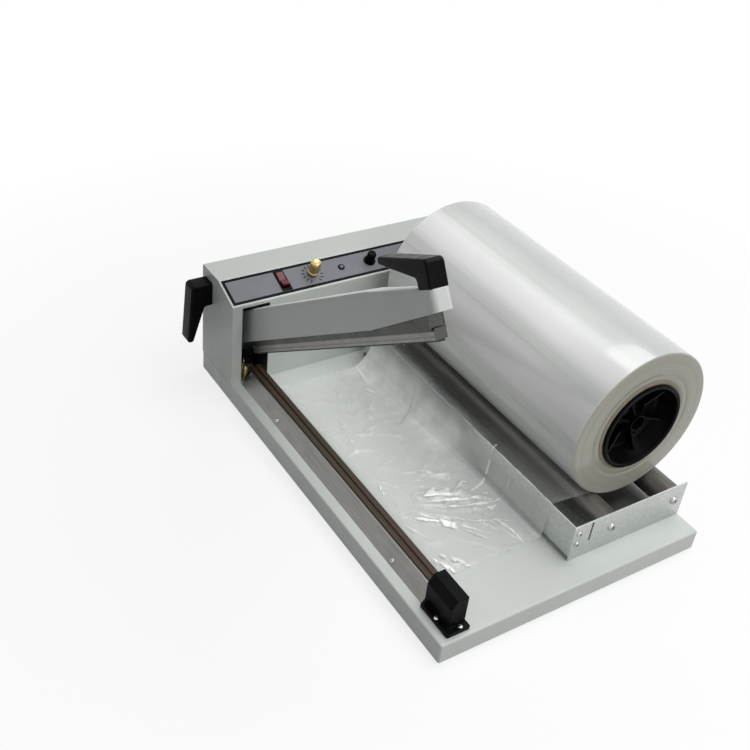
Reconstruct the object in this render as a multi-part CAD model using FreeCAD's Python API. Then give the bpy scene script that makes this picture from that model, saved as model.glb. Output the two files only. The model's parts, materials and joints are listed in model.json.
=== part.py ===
import FreeCAD, Part
import math
import os
from FreeCAD import Vector

os.makedirs("parts", exist_ok=True)

# Manual film sleeve sealer with a 400 mm seal bar, in millimetres.
# The frame's origin is the middle of the whole machine's footprint, from the side handle's
# grip to the back of the film roll, on the surface it stands on.
# +X runs from the control box to the end block, +Y away from the operator, +Z up.

# Along the machine: the roll's length sets the cradle, the base, the seal bar and the arm
box_width = 88.0
box_to_cradle = 11.0
plate_to_roll = 19.0
roll_length = 381.0
roll_to_plate = 39.0
plate_to_edge = 34.0
left_plate_place = box_width + box_to_cradle
roll_start = left_plate_place + plate_to_roll
right_plate_place = roll_start + roll_length + roll_to_plate
base_length = right_plate_place + plate_to_edge

# Base pan
base_depth = 372.0
pan_height = 26.0
foot_height = 3.0
foot_radius = 11.0
foot_inset = 24.0
pan_sheet = 1.5
pan_bend = 2.5
flange_width = 14.0
cover_sheet = 1.0
cover_play = 1.0
foot_taper = 1.5
foot_recess_radius = 3.2
foot_web = 1.2

# Control box
box_height = 137.0
box_flat = 45.0
panel_drop = 16.0
box_sheet = 1.2
box_bend = 2.0
box_flange = 12.0
box_screw_front = 110.0
box_screw_back = 30.0
cord_height = 24.0
cord_bore = 4.0
grommet_radius = 7.0
grommet_flange = 9.5
grommet_lip = 3.0

# Panel controls, equally spaced along the sloping panel
first_control = 81.0
control_pitch = 44.0
label_thickness = 0.3
label_margin = 2.5
bezel_length = 32.0
bezel_width = 14.0
bezel_height = 1.8
bezel_round = 0.9
switch_hole_inset = 1.8
switch_hole_side = 1.0
switch_body_inset = 2.2
switch_body_side = 1.2
switch_depth = 18.0
switch_well_inset = 3.4
switch_well_depth = 12.0
switch_pin = 1.0
switch_pin_height = -2.0
blade_offset = 8.0
blade_sheet = 0.8
blade_width = 4.8
blade_length = 8.0
rocker_width = 9.6
rocker_play = 0.35
rocker_throw = 16.0
rocker_inset = 4.6
rocker_tip = 5.2
rocker_middle = 2.4
rocker_lip = 1.0
rocker_root = 4.5
rocker_root_half = 3.4
pot_can_radius = 12.0
pot_can_depth = 10.5
pot_neck = 3.5
pot_bush_radius = 4.5
pot_bush_top = 6.0
pot_washer_radius = 8.0
pot_nut_radius = 6.0
pot_nut_top = 2.6
pot_tag_length = 7.0
pot_tag_width = 2.0
pot_tag_sheet = 0.6
pot_tag_pitch = 5.0
panel_hole_play = 0.1
shaft_play = 0.06
knob_radius = 7.0
knob_length = 22.0
knob_gap = 3.4
knob_flutes = 12
knob_edge = 0.8
knob_recess_radius = 5.2
knob_recess_depth = 3.2
knob_bore_top = 6.0
flute_depth = 0.7
flute_width = 0.8
flute_margin = 3.0
shaft_radius = 3.0
lamp_radius = 4.6
lamp_body_radius = 4.0
lamp_body_depth = 18.0
lamp_ring_top = 1.6
lamp_bore = 3.3
lens_radius = 3.2
lens_depth = 7.9
lens_top = 3.2
lens_edge = 1.2
fuse_cap_radius = 6.4
fuse_cap_taper = 0.9
fuse_cap_length = 14.0
fuse_cap_edge = 1.2
fuse_slot_length = 10.0
fuse_slot_width = 1.2
fuse_slot_depth = 1.2
fuse_stem_radius = 4.1
fuse_stem_depth = 8.0
fuse_flange_radius = 8.2
fuse_flange_top = 2.2
fuse_body_radius = 6.0
fuse_body_depth = 32.0
fuse_nut_radius = 8.5
fuse_nut_height = 4.0
fuse_bore = 4.4
fuse_bore_depth = 30.0
fuse_radius = 2.6
cap_groove_count = 8
groove_depth = 0.9
groove_width = 1.2
groove_low = 1.5
groove_high = 2.0

# Seal line and lower seal bar
seal_line = 38.5
bar_height = 14.2
bar_width = 18.0
bar_wall = 3.0
strip_width = 16.0
insulation_thickness = 0.3
strip_thickness = 1.2
wire_width = 1.4
wire_height = 0.5
wire_play = 0.2
wire_sink = 0.1
wire_setback = 2.0
bar_edge_round = 0.6
strip_edge_round = 0.4
insulation_inset = 0.5
bar_in_box = 10.0
bar_to_block = 5.0
posts_in_box = 12.0
post_pitch = 8.0
post_radius = 2.6
post_height = 24.0
post_front_gap = 4.6
collar_radius = 2.9
collar_height = 4.0
collar_place = 17.0
shield_foot = 14.0
shield_sheet = 0.8
shield_lift = 0.6
shield_ledge = 1.4
shield_bar_gap = 0.1
shield_skirt = 8.0
shield_to_box = 2.0
shield_to_block = 0.5
shield_screw_rise = 5.5
shield_screw_length = 4.0
shield_screw_near = 92.0
shield_screw_far = 62.5
clip_width = 14.0
clip_reach = 5.0

# End block
block_margin = 14.0
block_length = 44.0
block_front = 17.5
block_depth = 21.5
block_height = 41.0
block_foot_height = 5.0
block_foot_margin = 8.0
block_foot_front = 11.0
block_bevel = 7.0
block_bevel_height = 11.0
block_edge_round = 1.2
block_foot_round = 1.5
block_foot_inset = 2.0
block_foot_back = 1.5
block_screw_share = 0.62
block_screw_depth = 30.0
block_start = base_length - block_margin - block_length

# Ends of the seal bar and of its guard
bar_start = box_width - bar_in_box
bar_end = block_start - bar_to_block
post_start = box_width - posts_in_box
shield_start = box_width + shield_to_box
shield_end = block_start - shield_to_block
shield_screw_places = (shield_start + shield_screw_near, shield_end - shield_screw_far)

# Sealing arm, laid out along its own axis from the pivot, closed and level
arm_width = 23.0
arm_sheet = 2.0
arm_over_block = 12.0
arm_tail = 16.0
arm_bend = 1.2
arm_rise = 15.5
arm_nose_rise = 7.5
arm_drop = 25.0
arm_nose_drop = 14.5
taper_top_length = 123.0
taper_bottom_length = 128.0
arm_nose_radius = 7.0
arm_open_angle = 34.4
pivot_to_side = 50.0
pivot_offset = box_width - pivot_to_side
arm_reach = block_start + arm_over_block - pivot_offset
arm_taper_top = arm_reach - taper_top_length
arm_taper_bottom = arm_reach - taper_bottom_length
pivot_radius = 4.0
bush_radius = 6.0
bush_wall_gap = 0.05
ear_gap = 0.6
ear_sheet = 2.5
ear_radius = 12.0
ear_half_width = 16.0
bracket_screw_offset = 8.0
shaft_overhang = 3.5
clip_sheet = 0.8
clip_play = 0.05
clip_groove_depth = 0.7
clip_grip = 0.6
clip_rim = 3.0
clip_mouth = 5.2
clip_front_gap = 1.2
clip_back_gap = 0.3
spring_wire = 1.1
spring_play = 0.6
spring_turn_gap = 0.25
spring_turns = 4
spring_facets = 14
spring_sides = 8
spring_leg = 30.0
spring_leg_lift = 8.0
slot_front_gap = 13.0
slot_back_gap = 2.5
slot_top_margin = 4.5

# Micro switch lever that the closed arm presses
lever_offset = 20.0
lever_length = 17.0
lever_pressed = 4.0
lever_throw = 12.0
lever_width = 4.4
lever_sheet = 0.8
lever_hub = 1.6
lever_tip = 1.8
lever_tip_rise = 1.2
lever_pin = 0.8
lever_pin_play = 0.06
switch_case_front = 2.5
switch_case_length = 20.0
switch_case_width = 6.4
switch_case_top = 2.4
switch_case_bottom = 17.0
switch_leg_inset = 4.0
switch_ear_half = 2.0
switch_ear_top = 1.8
switch_ear_width = 6.4
switch_ear_gap = 5.0
plunger_radius = 1.2
plunger_place = 7.0
plunger_height = 2.3
plunger_seat = 0.6
seat_clearance = 0.5

# Press bar under the arm
closed_gap = 0.4
press_drop = 43.0
carrier_width = 18.6
carrier_sheet = 1.6
carrier_bottom = 32.0
carrier_start = 40.0
carrier_setback = 2.0
carrier_top_gap = 4.0
carrier_screw_shares = (0.12, 0.5, 0.88)
carrier_screw_bite = 3.5
press_start = 33.5
press_nose_gap = 17.0
press_end = arm_reach - press_nose_gap
press_width = 14.0
silicone_proud = 2.0
silicone_round = 0.8
rebate_depth = 0.8
rebate_low = 3.2
rebate_high = 4.4
silicone_width = 8.0
silicone_depth = 5.0

# Handles
grip_width = 22.0
arm_handle_length = 87.0
arm_handle_block = 22.0
side_handle_length = 84.0
side_handle_block = 33.0
side_handle_top = 13.0
side_handle_centre = 19.0
handle_height = 28.5
handle_throat = 10.5
handle_tip = 8.0
handle_tilt = 4.0
handle_nose_round = 6.0
handle_tip_round = 3.4
handle_throat_round = 5.0
handle_edge_round = 2.4
handle_setback = 1.0
handle_screw_shares = (0.3, 0.75)
handle_screw_length = 12.0
handle_screw_bore = 16.0
side_screw_offset = 5.5
side_screw_length = 13.0
side_screw_bore = 14.0
seat_gap = 0.05

# Film cradle
cradle_sheet = 1.5
cradle_height = 51.0
cradle_depth = 175.0
cradle_front = base_depth - cradle_depth
cradle_flange = 30.0
plate_back_gap = 1.0
plate_corner = 3.0
flange_inset = 8.0
flange_screw_front = 20.0
flange_screw_back = 24.0
front_plate_lift = 6.0
front_flange = 16.0
front_tab_drop = 3.0
front_lip = 8.0
front_edge_round = 0.6
front_screw_depth = 7.5
front_screw_shares = (0.46, 0.77)
front_screw_grip = 3.0
slot_place = 25.0
slot_width = 2.8
slot_low = 20.0
slot_high = 49.0
roller_radius = 16.0
roller_wall = 1.5
roller_axle_radius = 4.0
roller_height = 28.5
roller_first = 58.5
roller_pitch = 99.0
roller_side_gap = 1.5
cap_length = 12.0
cap_rim = 2.0
cap_step = 0.6
axle_screw_length = 12.0
axle_thread = 14.0

# Film roll
roll_radius = 96.0
roll_edge = 2.0
core_radius = 60.0
core_wall = 6.0
plug_flange_radius = 56.0
plug_flange = 4.0
plug_depth = 26.0
plug_web = 5.0
plug_hub_radius = 12.0
plug_hub_bore = 9.0
plug_bowl_edge = 3.5
film_thickness = 0.5
film_trim = 3.0
film_wrap = 2.4
film_fold = 5.0
film_bar_gap = 1.6
film_rise_start = 16.0
film_rise_end = 4.0
running_gap = 0.3
film_start = roll_start + film_trim
film_width = roll_length - 2 * film_trim

# Things inside the box
transformer_to_back = 110.0
transformer_place = base_depth - transformer_to_back
transformer_core_size = (62.0, 76.0, 26.0)
transformer_height = 64.0
transformer_yoke = 11.0
transformer_limb = 20.0
transformer_window = 10.0
coil_gap = 0.3
coil_inset = 6.0
coil_round = 6.0
strap_width = 14.0
strap_sheet = 1.2
strap_ear = 7.5
strap_screw_outset = 4.25
board_place = 150.0
board_size = (58.0, 74.0, 1.6)
board_inset = 5.0
standoff_height = 8.0
standoff_radius = 3.0
standoff_tip_radius = 1.5
standoff_tip = 1.5
relay_place = (10.0, 10.0)
relay_size = (16.0, 19.0, 15.0)
relay_round = 1.0
large_capacitor = (42.0, 18.0, 5.0, 16.0)
small_capacitor = (44.0, 36.0, 3.5, 11.0)
terminal_place = (8.0, 52.0)
terminal_size = (32.0, 10.0, 11.0)

# Fasteners
screw_head_ratio = 1.9
screw_head_height = 1.1
screw_head_edge = 0.45
small_screw = 1.5
medium_screw = 2.0
axle_screw = 3.0

# Places worked out from the sizes above
handle_slope = math.radians(handle_tilt)
handle_reach = (handle_height + (side_handle_length - handle_tip_round) * math.tan(handle_slope)
                + handle_tip_round * (1 - 1 / math.cos(handle_slope)))
roll_back = cradle_front + roller_first + roller_pitch / 2 + roll_radius
left = -base_length / 2
right = base_length / 2
front = (handle_reach - roll_back) / 2
back = front + base_depth
base_top = foot_height + pan_height
box_right = left + box_width
box_top = base_top + box_height
fold_x = left + box_flat
panel_run = box_width - box_flat
panel_length = math.hypot(panel_run, panel_drop)
panel_along = Vector(panel_run, 0, -panel_drop) / panel_length
panel_normal = Vector(panel_drop, 0, panel_run) / panel_length
panel_middle = panel_length / 2
seal_y = front + seal_line
bar_top = base_top + bar_height
strip_top = bar_top + insulation_thickness + strip_thickness
pivot_x = left + pivot_offset
pivot_z = strip_top + closed_gap + press_drop
arm_front = seal_y - arm_width / 2
arm_back = seal_y + arm_width / 2
press_bar_bottom = press_drop - silicone_proud
control_holes = ((1, pot_bush_radius), (2, lamp_body_radius), (3, fuse_body_radius))
board_top = base_top + standoff_height + board_size[2]
transformer_x = left + (box_width - transformer_core_size[0]) / 2
transformer_y = front + transformer_place + transformer_core_size[1] / 2
cradle_y = front + cradle_front
cradle_top = base_top + cradle_height
left_plate = left + left_plate_place
right_plate = left + right_plate_place
roller_z = base_top + roller_height
roller_ys = (cradle_y + roller_first, cradle_y + roller_first + roller_pitch)
roller_x0 = left_plate + cradle_sheet + roller_side_gap
roller_x1 = right_plate - cradle_sheet - roller_side_gap
roll_y = (roller_ys[0] + roller_ys[1]) / 2
roll_seat = roll_radius + roller_radius + running_gap
roll_z = roller_z + math.sqrt(roll_seat ** 2 - (roller_pitch / 2) ** 2)
roll_x0 = left + roll_start
roll_x1 = roll_x0 + roll_length

X_AXIS = Vector(1, 0, 0)
Y_AXIS = Vector(0, 1, 0)
Z_AXIS = Vector(0, 0, 1)


def block(x0, y0, z0, x1, y1, z1):
    return Part.makeBox(x1 - x0, y1 - y0, z1 - z0, Vector(x0, y0, z0))


def rod(radius, start, axis, length):
    return Part.makeCylinder(radius, length, start, axis)


def tube(outer, inner, start, axis, length):
    return rod(outer, start, axis, length).cut(rod(inner, start, axis, length))


def prism(points, travel):
    corners = [Vector(*p) for p in points]
    face = Part.Face(Part.makePolygon(corners + corners[:1]))
    return face.extrude(travel)


def along_x(profile, x0, x1):
    """Extrude a profile of (y, z) points from x0 to x1."""
    return prism([(x0, y, z) for y, z in profile], Vector(x1 - x0, 0, 0))


def along_y(profile, y0, y1):
    """Extrude a profile of (x, z) points from y0 to y1."""
    return prism([(x, y0, z) for x, z in profile], Vector(0, y1 - y0, 0))


def edges_along(shape, axis, keep):
    """The straight edges parallel to an axis whose middle point passes the test."""
    found = []
    for edge in shape.Edges:
        if len(edge.Vertexes) != 2:
            continue
        ends = edge.Vertexes[1].Point - edge.Vertexes[0].Point
        if ends.Length < 1e-6 or abs(abs(ends.normalize().dot(axis)) - 1) > 1e-6:
            continue
        if keep(edge.CenterOfMass):
            found.append(edge)
    return found


def end_edges(shape, seat, axis, height):
    """The edges of a turned piece that lie at a height above its seat."""
    return [e for e in shape.Edges if abs((e.CenterOfMass - seat).dot(axis) - height) < 1e-3]


def pan_screw(radius, seat, axis, length):
    """A pan head screw: its seat is the point under the head, its axis points out of the work."""
    head_radius = radius * screw_head_ratio
    head_height = radius * screw_head_height
    head = rod(head_radius, seat, axis, head_height)
    head = head.makeChamfer(head_height * screw_head_edge, end_edges(head, seat, axis, head_height))
    return head.fuse(rod(radius, seat - axis * length, axis, length)).removeSplitter()


def save(name, *solids):
    shape = solids[0] if len(solids) == 1 else Part.makeCompound(list(solids))
    shape.exportStep("parts/%s.step" % name)


def panel_point(y, s, h):
    """A point at depth y, distance s down the slope and height h above the panel."""
    return Vector(fold_x, y, box_top) + panel_along * s + panel_normal * h


def panel_rod(radius, y, s, h0, h1):
    return rod(radius, panel_point(y, s, h0), panel_normal, h1 - h0)


def panel_prism(profile, y0, y1):
    """Extrude a profile of (s, h) points on the slope from y0 to y1."""
    corners = [panel_point(y0, s, h) for s, h in profile]
    return Part.Face(Part.makePolygon(corners + corners[:1])).extrude(Vector(0, y1 - y0, 0))


def control_y(index):
    return front + first_control + control_pitch * index


# Base


def base_pan():
    outer = block(left, front, foot_height, right, back, base_top)
    rim = edges_along(outer, Z_AXIS, lambda p: True)
    rim += [e for e in outer.Edges if e.CenterOfMass.z > base_top - 0.1]
    outer = outer.makeFillet(pan_bend, rim)
    cavity = block(left + pan_sheet, front + pan_sheet, foot_height + pan_sheet,
                   right - pan_sheet, back - pan_sheet, base_top - pan_sheet)
    mouth = block(left + flange_width, front + flange_width, foot_height,
                  right - flange_width, back - flange_width, foot_height + pan_sheet)
    return outer.cut(cavity).cut(mouth)


def bottom_cover():
    z = foot_height + pan_sheet
    inset = pan_sheet + cover_play
    return block(left + inset, front + inset, z, right - inset, back - inset, z + cover_sheet)


def feet():
    made = []
    for x in (left + foot_inset, right - foot_inset):
        for y in (front + foot_inset, back - foot_inset):
            pad = Part.makeCone(foot_radius, foot_radius - foot_taper, foot_height, Vector(x, y, 0), Z_AXIS)
            recess = rod(foot_recess_radius, Vector(x, y, foot_web), Z_AXIS, foot_height)
            made.append(pad.cut(recess))
    return made


# Control box


def box_profile(offset, z0):
    """The box's outline in x and z, drawn in by a wall thickness."""
    rise = offset * (panel_length - panel_drop) / panel_run
    flat_end = fold_x + offset * (panel_length - panel_run) / panel_drop * -1
    return [(left + offset, z0), (left + offset, box_top - offset),
            (flat_end, box_top - offset), (box_right - offset, box_top - panel_drop - rise),
            (box_right - offset, z0)]


def control_box_shell():
    outer = along_y(box_profile(0, base_top), front, back)
    bends = edges_along(outer, Y_AXIS, lambda p: p.z > base_top + 1)
    outer = outer.makeFillet(box_bend, bends)
    inner = along_y(box_profile(box_sheet, base_top - 1), front + box_sheet, back - box_sheet)
    shell = outer.cut(inner)
    slot_top = box_top - panel_drop - slot_top_margin
    slot = block(box_right - box_flat / 2, arm_front - slot_front_gap, base_top - 1,
                 box_right + 1, arm_back + slot_back_gap, slot_top)
    shell = shell.cut(slot)
    for x, y in box_screw_places():
        half = box_flange / 2
        shell = shell.fuse(block(x - half, y - half, base_top, x + half, y + half, base_top + box_sheet))
    holes = panel_holes(3 * box_sheet)
    holes.append(rod(grommet_radius, cord_place() - Y_AXIS * 2 * box_sheet, Y_AXIS, 4 * box_sheet))
    for x in handle_screw_xs():
        holes.append(rod(medium_screw + panel_hole_play, Vector(x, front - box_sheet, side_screw_z()),
                         Y_AXIS, 3 * box_sheet))
    for x, y in box_screw_places():
        holes.append(rod(small_screw, Vector(x, y, base_top - box_sheet), Z_AXIS, 3 * box_sheet))
    for hole in holes:
        shell = shell.cut(hole)
    return shell.removeSplitter()


def panel_holes(depth):
    """Cutting tools for the switch and the three round controls, run out to both sides of the panel."""
    half = bezel_length / 2 - switch_hole_inset
    side = bezel_width / 2 - switch_hole_side
    y = control_y(0)
    tools = [panel_prism([(panel_middle - half, -depth), (panel_middle + half, -depth),
                          (panel_middle + half, depth), (panel_middle - half, depth)], y - side, y + side)]
    for index, radius in control_holes:
        tools.append(panel_rod(radius + panel_hole_play, control_y(index), panel_middle, -depth, depth))
    return tools


def cord_place():
    return Vector(left + box_width / 2, back, base_top + cord_height)


def box_screw_places():
    near = left + box_sheet + box_flange / 2
    far = box_right - box_sheet - box_flange / 2
    return [(x, y) for x in (near, far) for y in (front + box_screw_front, back - box_screw_back)]


def box_screws():
    seat = base_top + box_sheet
    return [pan_screw(small_screw, Vector(x, y, seat), Z_AXIS, box_sheet + pan_sheet)
            for x, y in box_screw_places()]


def panel_label():
    sheet = panel_prism([(label_margin, 0), (panel_length - label_margin, 0),
                         (panel_length - label_margin, label_thickness),
                         (label_margin, label_thickness)],
                        front + label_margin, back - label_margin)
    for hole in panel_holes(2 * label_thickness):
        sheet = sheet.cut(hole)
    return sheet


def switch_housing():
    y = control_y(0)
    m = panel_middle
    half = bezel_length / 2
    bottom = label_thickness
    top = label_thickness + bezel_height
    bezel = panel_prism([(m - half, bottom), (m + half, bottom), (m + half, top), (m - half, top)],
                        y - bezel_width / 2, y + bezel_width / 2)
    bezel = bezel.makeFillet(bezel_round, [e for e in bezel.Edges
                                           if panel_height(e.CenterOfMass, y) > top - 0.01])
    body = switch_box(half - switch_body_inset, bottom, -switch_depth, bezel_width / 2 - switch_body_side)
    well = switch_box(half - switch_well_inset, top + 1, -switch_well_depth, rocker_width / 2 + rocker_play)
    pin_half = bezel_width / 2 - switch_body_side
    pin = rod(switch_pin, panel_point(y - pin_half, m, switch_pin_height), Y_AXIS, 2 * pin_half)
    housing = bezel.fuse(body).cut(well).fuse(pin)
    for s in (m - blade_offset, m + blade_offset):
        near, far = s - blade_sheet / 2, s + blade_sheet / 2
        high, low = -switch_depth, -switch_depth - blade_length
        blade = panel_prism([(near, high), (far, high), (far, low), (near, low)],
                            y - blade_width / 2, y + blade_width / 2)
        housing = housing.fuse(blade)
    return housing.removeSplitter()


def panel_height(point, y):
    return (point - panel_point(y, 0, 0)).dot(panel_normal)


def switch_box(half, top, bottom, side):
    """A block about the switch's middle, from one height over the panel to another."""
    y = control_y(0)
    m = panel_middle
    return panel_prism([(m - half, top), (m + half, top), (m + half, bottom), (m - half, bottom)],
                       y - side, y + side)


def switch_rocker():
    y = control_y(0)
    m = panel_middle
    half = bezel_length / 2 - rocker_inset
    profile = [(m - half, rocker_tip), (m, rocker_middle), (m + half, rocker_tip), (m + half, rocker_lip),
               (m + rocker_root_half, -rocker_root), (m - rocker_root_half, -rocker_root),
               (m - half, rocker_lip)]
    paddle = panel_prism(profile, y - rocker_width / 2, y + rocker_width / 2)
    pivot = panel_point(y, m, switch_pin_height)
    bore = rod(switch_pin + shaft_play, pivot - Y_AXIS * rocker_width, Y_AXIS, 2 * rocker_width)
    paddle = paddle.cut(bore)
    paddle.rotate(pivot, Y_AXIS, -rocker_throw / 2)
    return paddle


def timer_potentiometer():
    y = control_y(1)
    m = panel_middle
    can_bottom = -pot_neck - pot_can_depth
    pot = panel_rod(pot_can_radius, y, m, can_bottom, -pot_neck)
    pot = pot.fuse(panel_rod(pot_washer_radius, y, m, -pot_neck, -box_sheet))
    pot = pot.fuse(panel_rod(pot_bush_radius, y, m, -pot_neck, pot_bush_top))
    pot = pot.fuse(panel_rod(pot_nut_radius, y, m, label_thickness, pot_nut_top))
    near = m + pot_can_radius - 1
    far = near + pot_tag_length
    level = -pot_neck - pot_can_depth / 2
    for offset in (-pot_tag_pitch, 0, pot_tag_pitch):
        pot = pot.fuse(panel_prism([(near, level), (far, level), (far, level - pot_tag_sheet),
                                    (near, level - pot_tag_sheet)],
                                   y + offset - pot_tag_width / 2, y + offset + pot_tag_width / 2))
    bore = panel_rod(shaft_radius + shaft_play, y, m, can_bottom + pot_tag_width, pot_bush_top + 1)
    return pot.cut(bore).removeSplitter()


def timer_shaft():
    bottom = pot_tag_width + 0.5 - pot_neck - pot_can_depth
    return panel_rod(shaft_radius, control_y(1), panel_middle, bottom, knob_gap + knob_length - knob_bore_top)


def timer_knob():
    y = control_y(1)
    m = panel_middle
    seat = panel_point(y, m, 0)
    top = knob_gap + knob_length
    knob = panel_rod(knob_radius, y, m, knob_gap, top)
    knob = knob.makeChamfer(knob_edge, end_edges(knob, seat, panel_normal, top))
    knob = knob.cut(panel_rod(knob_recess_radius, y, m, knob_gap - 1, knob_gap + knob_recess_depth))
    knob = knob.cut(panel_rod(shaft_radius, y, m, 0, top - knob_bore_top))
    return knob.cut(radial_grooves(y, knob_radius, knob_flutes, flute_depth, flute_width,
                                   knob_gap + flute_margin, top - flute_margin))


def radial_grooves(y, radius, count, depth, width, low, high):
    """Cutting tools for grooves spaced evenly round a control, as one compound."""
    tools = []
    near = panel_middle + radius - depth
    far = panel_middle + radius + 1
    for index in range(count):
        tool = panel_prism([(near, low), (far, low), (far, high), (near, high)], y - width / 2, y + width / 2)
        tool.rotate(panel_point(y, panel_middle, 0), panel_normal, index * 360.0 / count)
        tools.append(tool)
    return Part.makeCompound(tools)


def indicator_lamp():
    y = control_y(2)
    m = panel_middle
    ring = panel_rod(lamp_radius, y, m, label_thickness, lamp_ring_top)
    body = panel_rod(lamp_body_radius, y, m, -lamp_body_depth, lamp_ring_top)
    bore = panel_rod(lamp_bore, y, m, -lens_depth - 0.1, lamp_ring_top + 1)
    return ring.fuse(body).cut(bore).removeSplitter()


def indicator_lens():
    y = control_y(2)
    lens = panel_rod(lens_radius, y, panel_middle, -lens_depth, lens_top)
    seat = panel_point(y, panel_middle, 0)
    return lens.makeChamfer(lens_edge, end_edges(lens, seat, panel_normal, lens_top))


def fuse_holder():
    y = control_y(3)
    m = panel_middle
    flange = panel_rod(fuse_flange_radius, y, m, label_thickness, fuse_flange_top)
    body = panel_rod(fuse_body_radius, y, m, -fuse_body_depth, fuse_flange_top)
    nut = panel_rod(fuse_nut_radius, y, m, -box_sheet - fuse_nut_height, -box_sheet)
    bore = panel_rod(fuse_bore, y, m, -fuse_bore_depth, fuse_flange_top + 1)
    return flange.fuse(body).fuse(nut).cut(bore).removeSplitter()


def fuse_cap():
    y = control_y(3)
    m = panel_middle
    bottom = fuse_flange_top + running_gap
    top = bottom + fuse_cap_length
    cap = Part.makeCone(fuse_cap_radius, fuse_cap_radius - fuse_cap_taper, fuse_cap_length,
                        panel_point(y, m, bottom), panel_normal)
    cap = cap.makeChamfer(fuse_cap_edge, end_edges(cap, panel_point(y, m, 0), panel_normal, top))
    near, far = m - fuse_slot_length / 2, m + fuse_slot_length / 2
    floor = top - fuse_slot_depth
    slot = panel_prism([(near, floor), (far, floor), (far, top + 1), (near, top + 1)],
                       y - fuse_slot_width / 2, y + fuse_slot_width / 2)
    cap = cap.fuse(panel_rod(fuse_stem_radius, y, m, -fuse_stem_depth, bottom + 1)).cut(slot)
    return cap.cut(radial_grooves(y, fuse_cap_radius, cap_groove_count, groove_depth, groove_width,
                                  bottom + groove_low, top - groove_high))


def glass_fuse():
    return panel_rod(fuse_radius, control_y(3), panel_middle, 0.1 - fuse_bore_depth, -fuse_stem_depth - 0.1)


def cord_grommet():
    centre = cord_place()
    outer = rod(grommet_flange, centre, Y_AXIS, grommet_lip)
    outer = outer.fuse(rod(grommet_radius, centre - Y_AXIS * grommet_lip, Y_AXIS, grommet_lip + 1))
    bore = rod(cord_bore, centre - Y_AXIS * 2 * grommet_lip, Y_AXIS, 4 * grommet_lip)
    return outer.cut(bore).removeSplitter()


# Inside the box


def transformer_block(half_width, half_length, low, high):
    """A block about the transformer's middle, between two heights over the base."""
    mid = transformer_x + transformer_core_size[0] / 2
    return block(mid - half_width, transformer_y - half_length, base_top + low,
                 mid + half_width, transformer_y + half_length, base_top + high)


def transformer():
    width, length, stack = transformer_core_size
    height = transformer_height
    low, high = transformer_yoke, transformer_height - transformer_yoke
    limb = transformer_limb / 2
    window = limb + transformer_window
    windows = transformer_block(window, length, low, high).cut(transformer_block(limb, length, low, high))
    core = transformer_block(width / 2, stack / 2, 0, height).cut(windows)
    coil = transformer_block(window - coil_gap, length / 2 - coil_inset, low + coil_gap, high - coil_gap)
    coil = coil.makeFillet(coil_round, edges_along(coil, Z_AXIS, lambda p: True))
    coil = coil.cut(transformer_block(limb, stack / 2, 0, height))
    half = width / 2
    strap = transformer_block(half + strap_sheet, strap_width / 2, 0, height + strap_sheet)
    strap = strap.cut(transformer_block(half, strap_width, -1, height))
    feet_low = transformer_block(half + strap_ear, strap_width / 2, 0, strap_sheet)
    strap = strap.fuse(feet_low.cut(transformer_block(half, strap_width, -1, height)))
    for x, y in transformer_screw_places():
        strap = strap.cut(rod(small_screw, Vector(x, y, base_top - 1), Z_AXIS, strap_sheet + 2))
    return core, coil, strap.removeSplitter()


def transformer_screws():
    return [pan_screw(small_screw, Vector(x, y, base_top + strap_sheet), Z_AXIS, strap_sheet + pan_sheet)
            for x, y in transformer_screw_places()]


def transformer_screw_places():
    return [(transformer_x - strap_screw_outset, transformer_y),
            (transformer_x + transformer_core_size[0] + strap_screw_outset, transformer_y)]


def board_corner():
    return left + (box_width - board_size[0]) / 2, front + board_place


def on_board(place, size):
    x, y = board_corner()
    return block(x + place[0], y + place[1], board_top,
                 x + place[0] + size[0], y + place[1] + size[1], board_top + size[2])


def capacitor(across, along, radius, height):
    x, y = board_corner()
    return rod(radius, Vector(x + across, y + along, board_top), Z_AXIS, height)


def timer_board():
    width, length, sheet = board_size
    x0, y0 = board_corner()
    bottom = board_top - sheet
    board = block(x0, y0, bottom, x0 + width, y0 + length, board_top)
    standoffs = []
    for x in (x0 + board_inset, x0 + width - board_inset):
        for y in (y0 + board_inset, y0 + length - board_inset):
            board = board.cut(rod(standoff_tip_radius, Vector(x, y, bottom - 1), Z_AXIS, sheet + 2))
            post = rod(standoff_radius, Vector(x, y, base_top), Z_AXIS, standoff_height)
            standoffs.append(post.fuse(rod(standoff_tip_radius, Vector(x, y, bottom), Z_AXIS,
                                           sheet + standoff_tip)))
    relay = on_board(relay_place, relay_size)
    rim = [e for e in relay.Edges if e.CenterOfMass.z > board_top + relay_size[2] - 0.1]
    parts = [relay.makeFillet(relay_round, rim), capacitor(*large_capacitor), capacitor(*small_capacitor),
             on_board(terminal_place, terminal_size)]
    return board, standoffs, parts


# Lower seal bar


def seal_bar_base():
    y0 = seal_y - bar_width / 2
    y1 = seal_y + bar_width / 2
    outer = block(left + bar_start, y0, base_top, left + bar_end, y1, bar_top)
    hollow = block(left + bar_start - 1, y0 + bar_wall, base_top - 1,
                   left + bar_end + 1, y1 - bar_wall, bar_top - bar_wall)
    outer = outer.makeFillet(bar_edge_round, edges_along(outer, X_AXIS, lambda p: p.z > bar_top - 0.1))
    return outer.cut(hollow)


def seal_insulation():
    half = strip_width / 2 - insulation_inset
    return block(left + bar_start, seal_y - half, bar_top,
                 left + bar_end, seal_y + half, bar_top + insulation_thickness)


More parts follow.
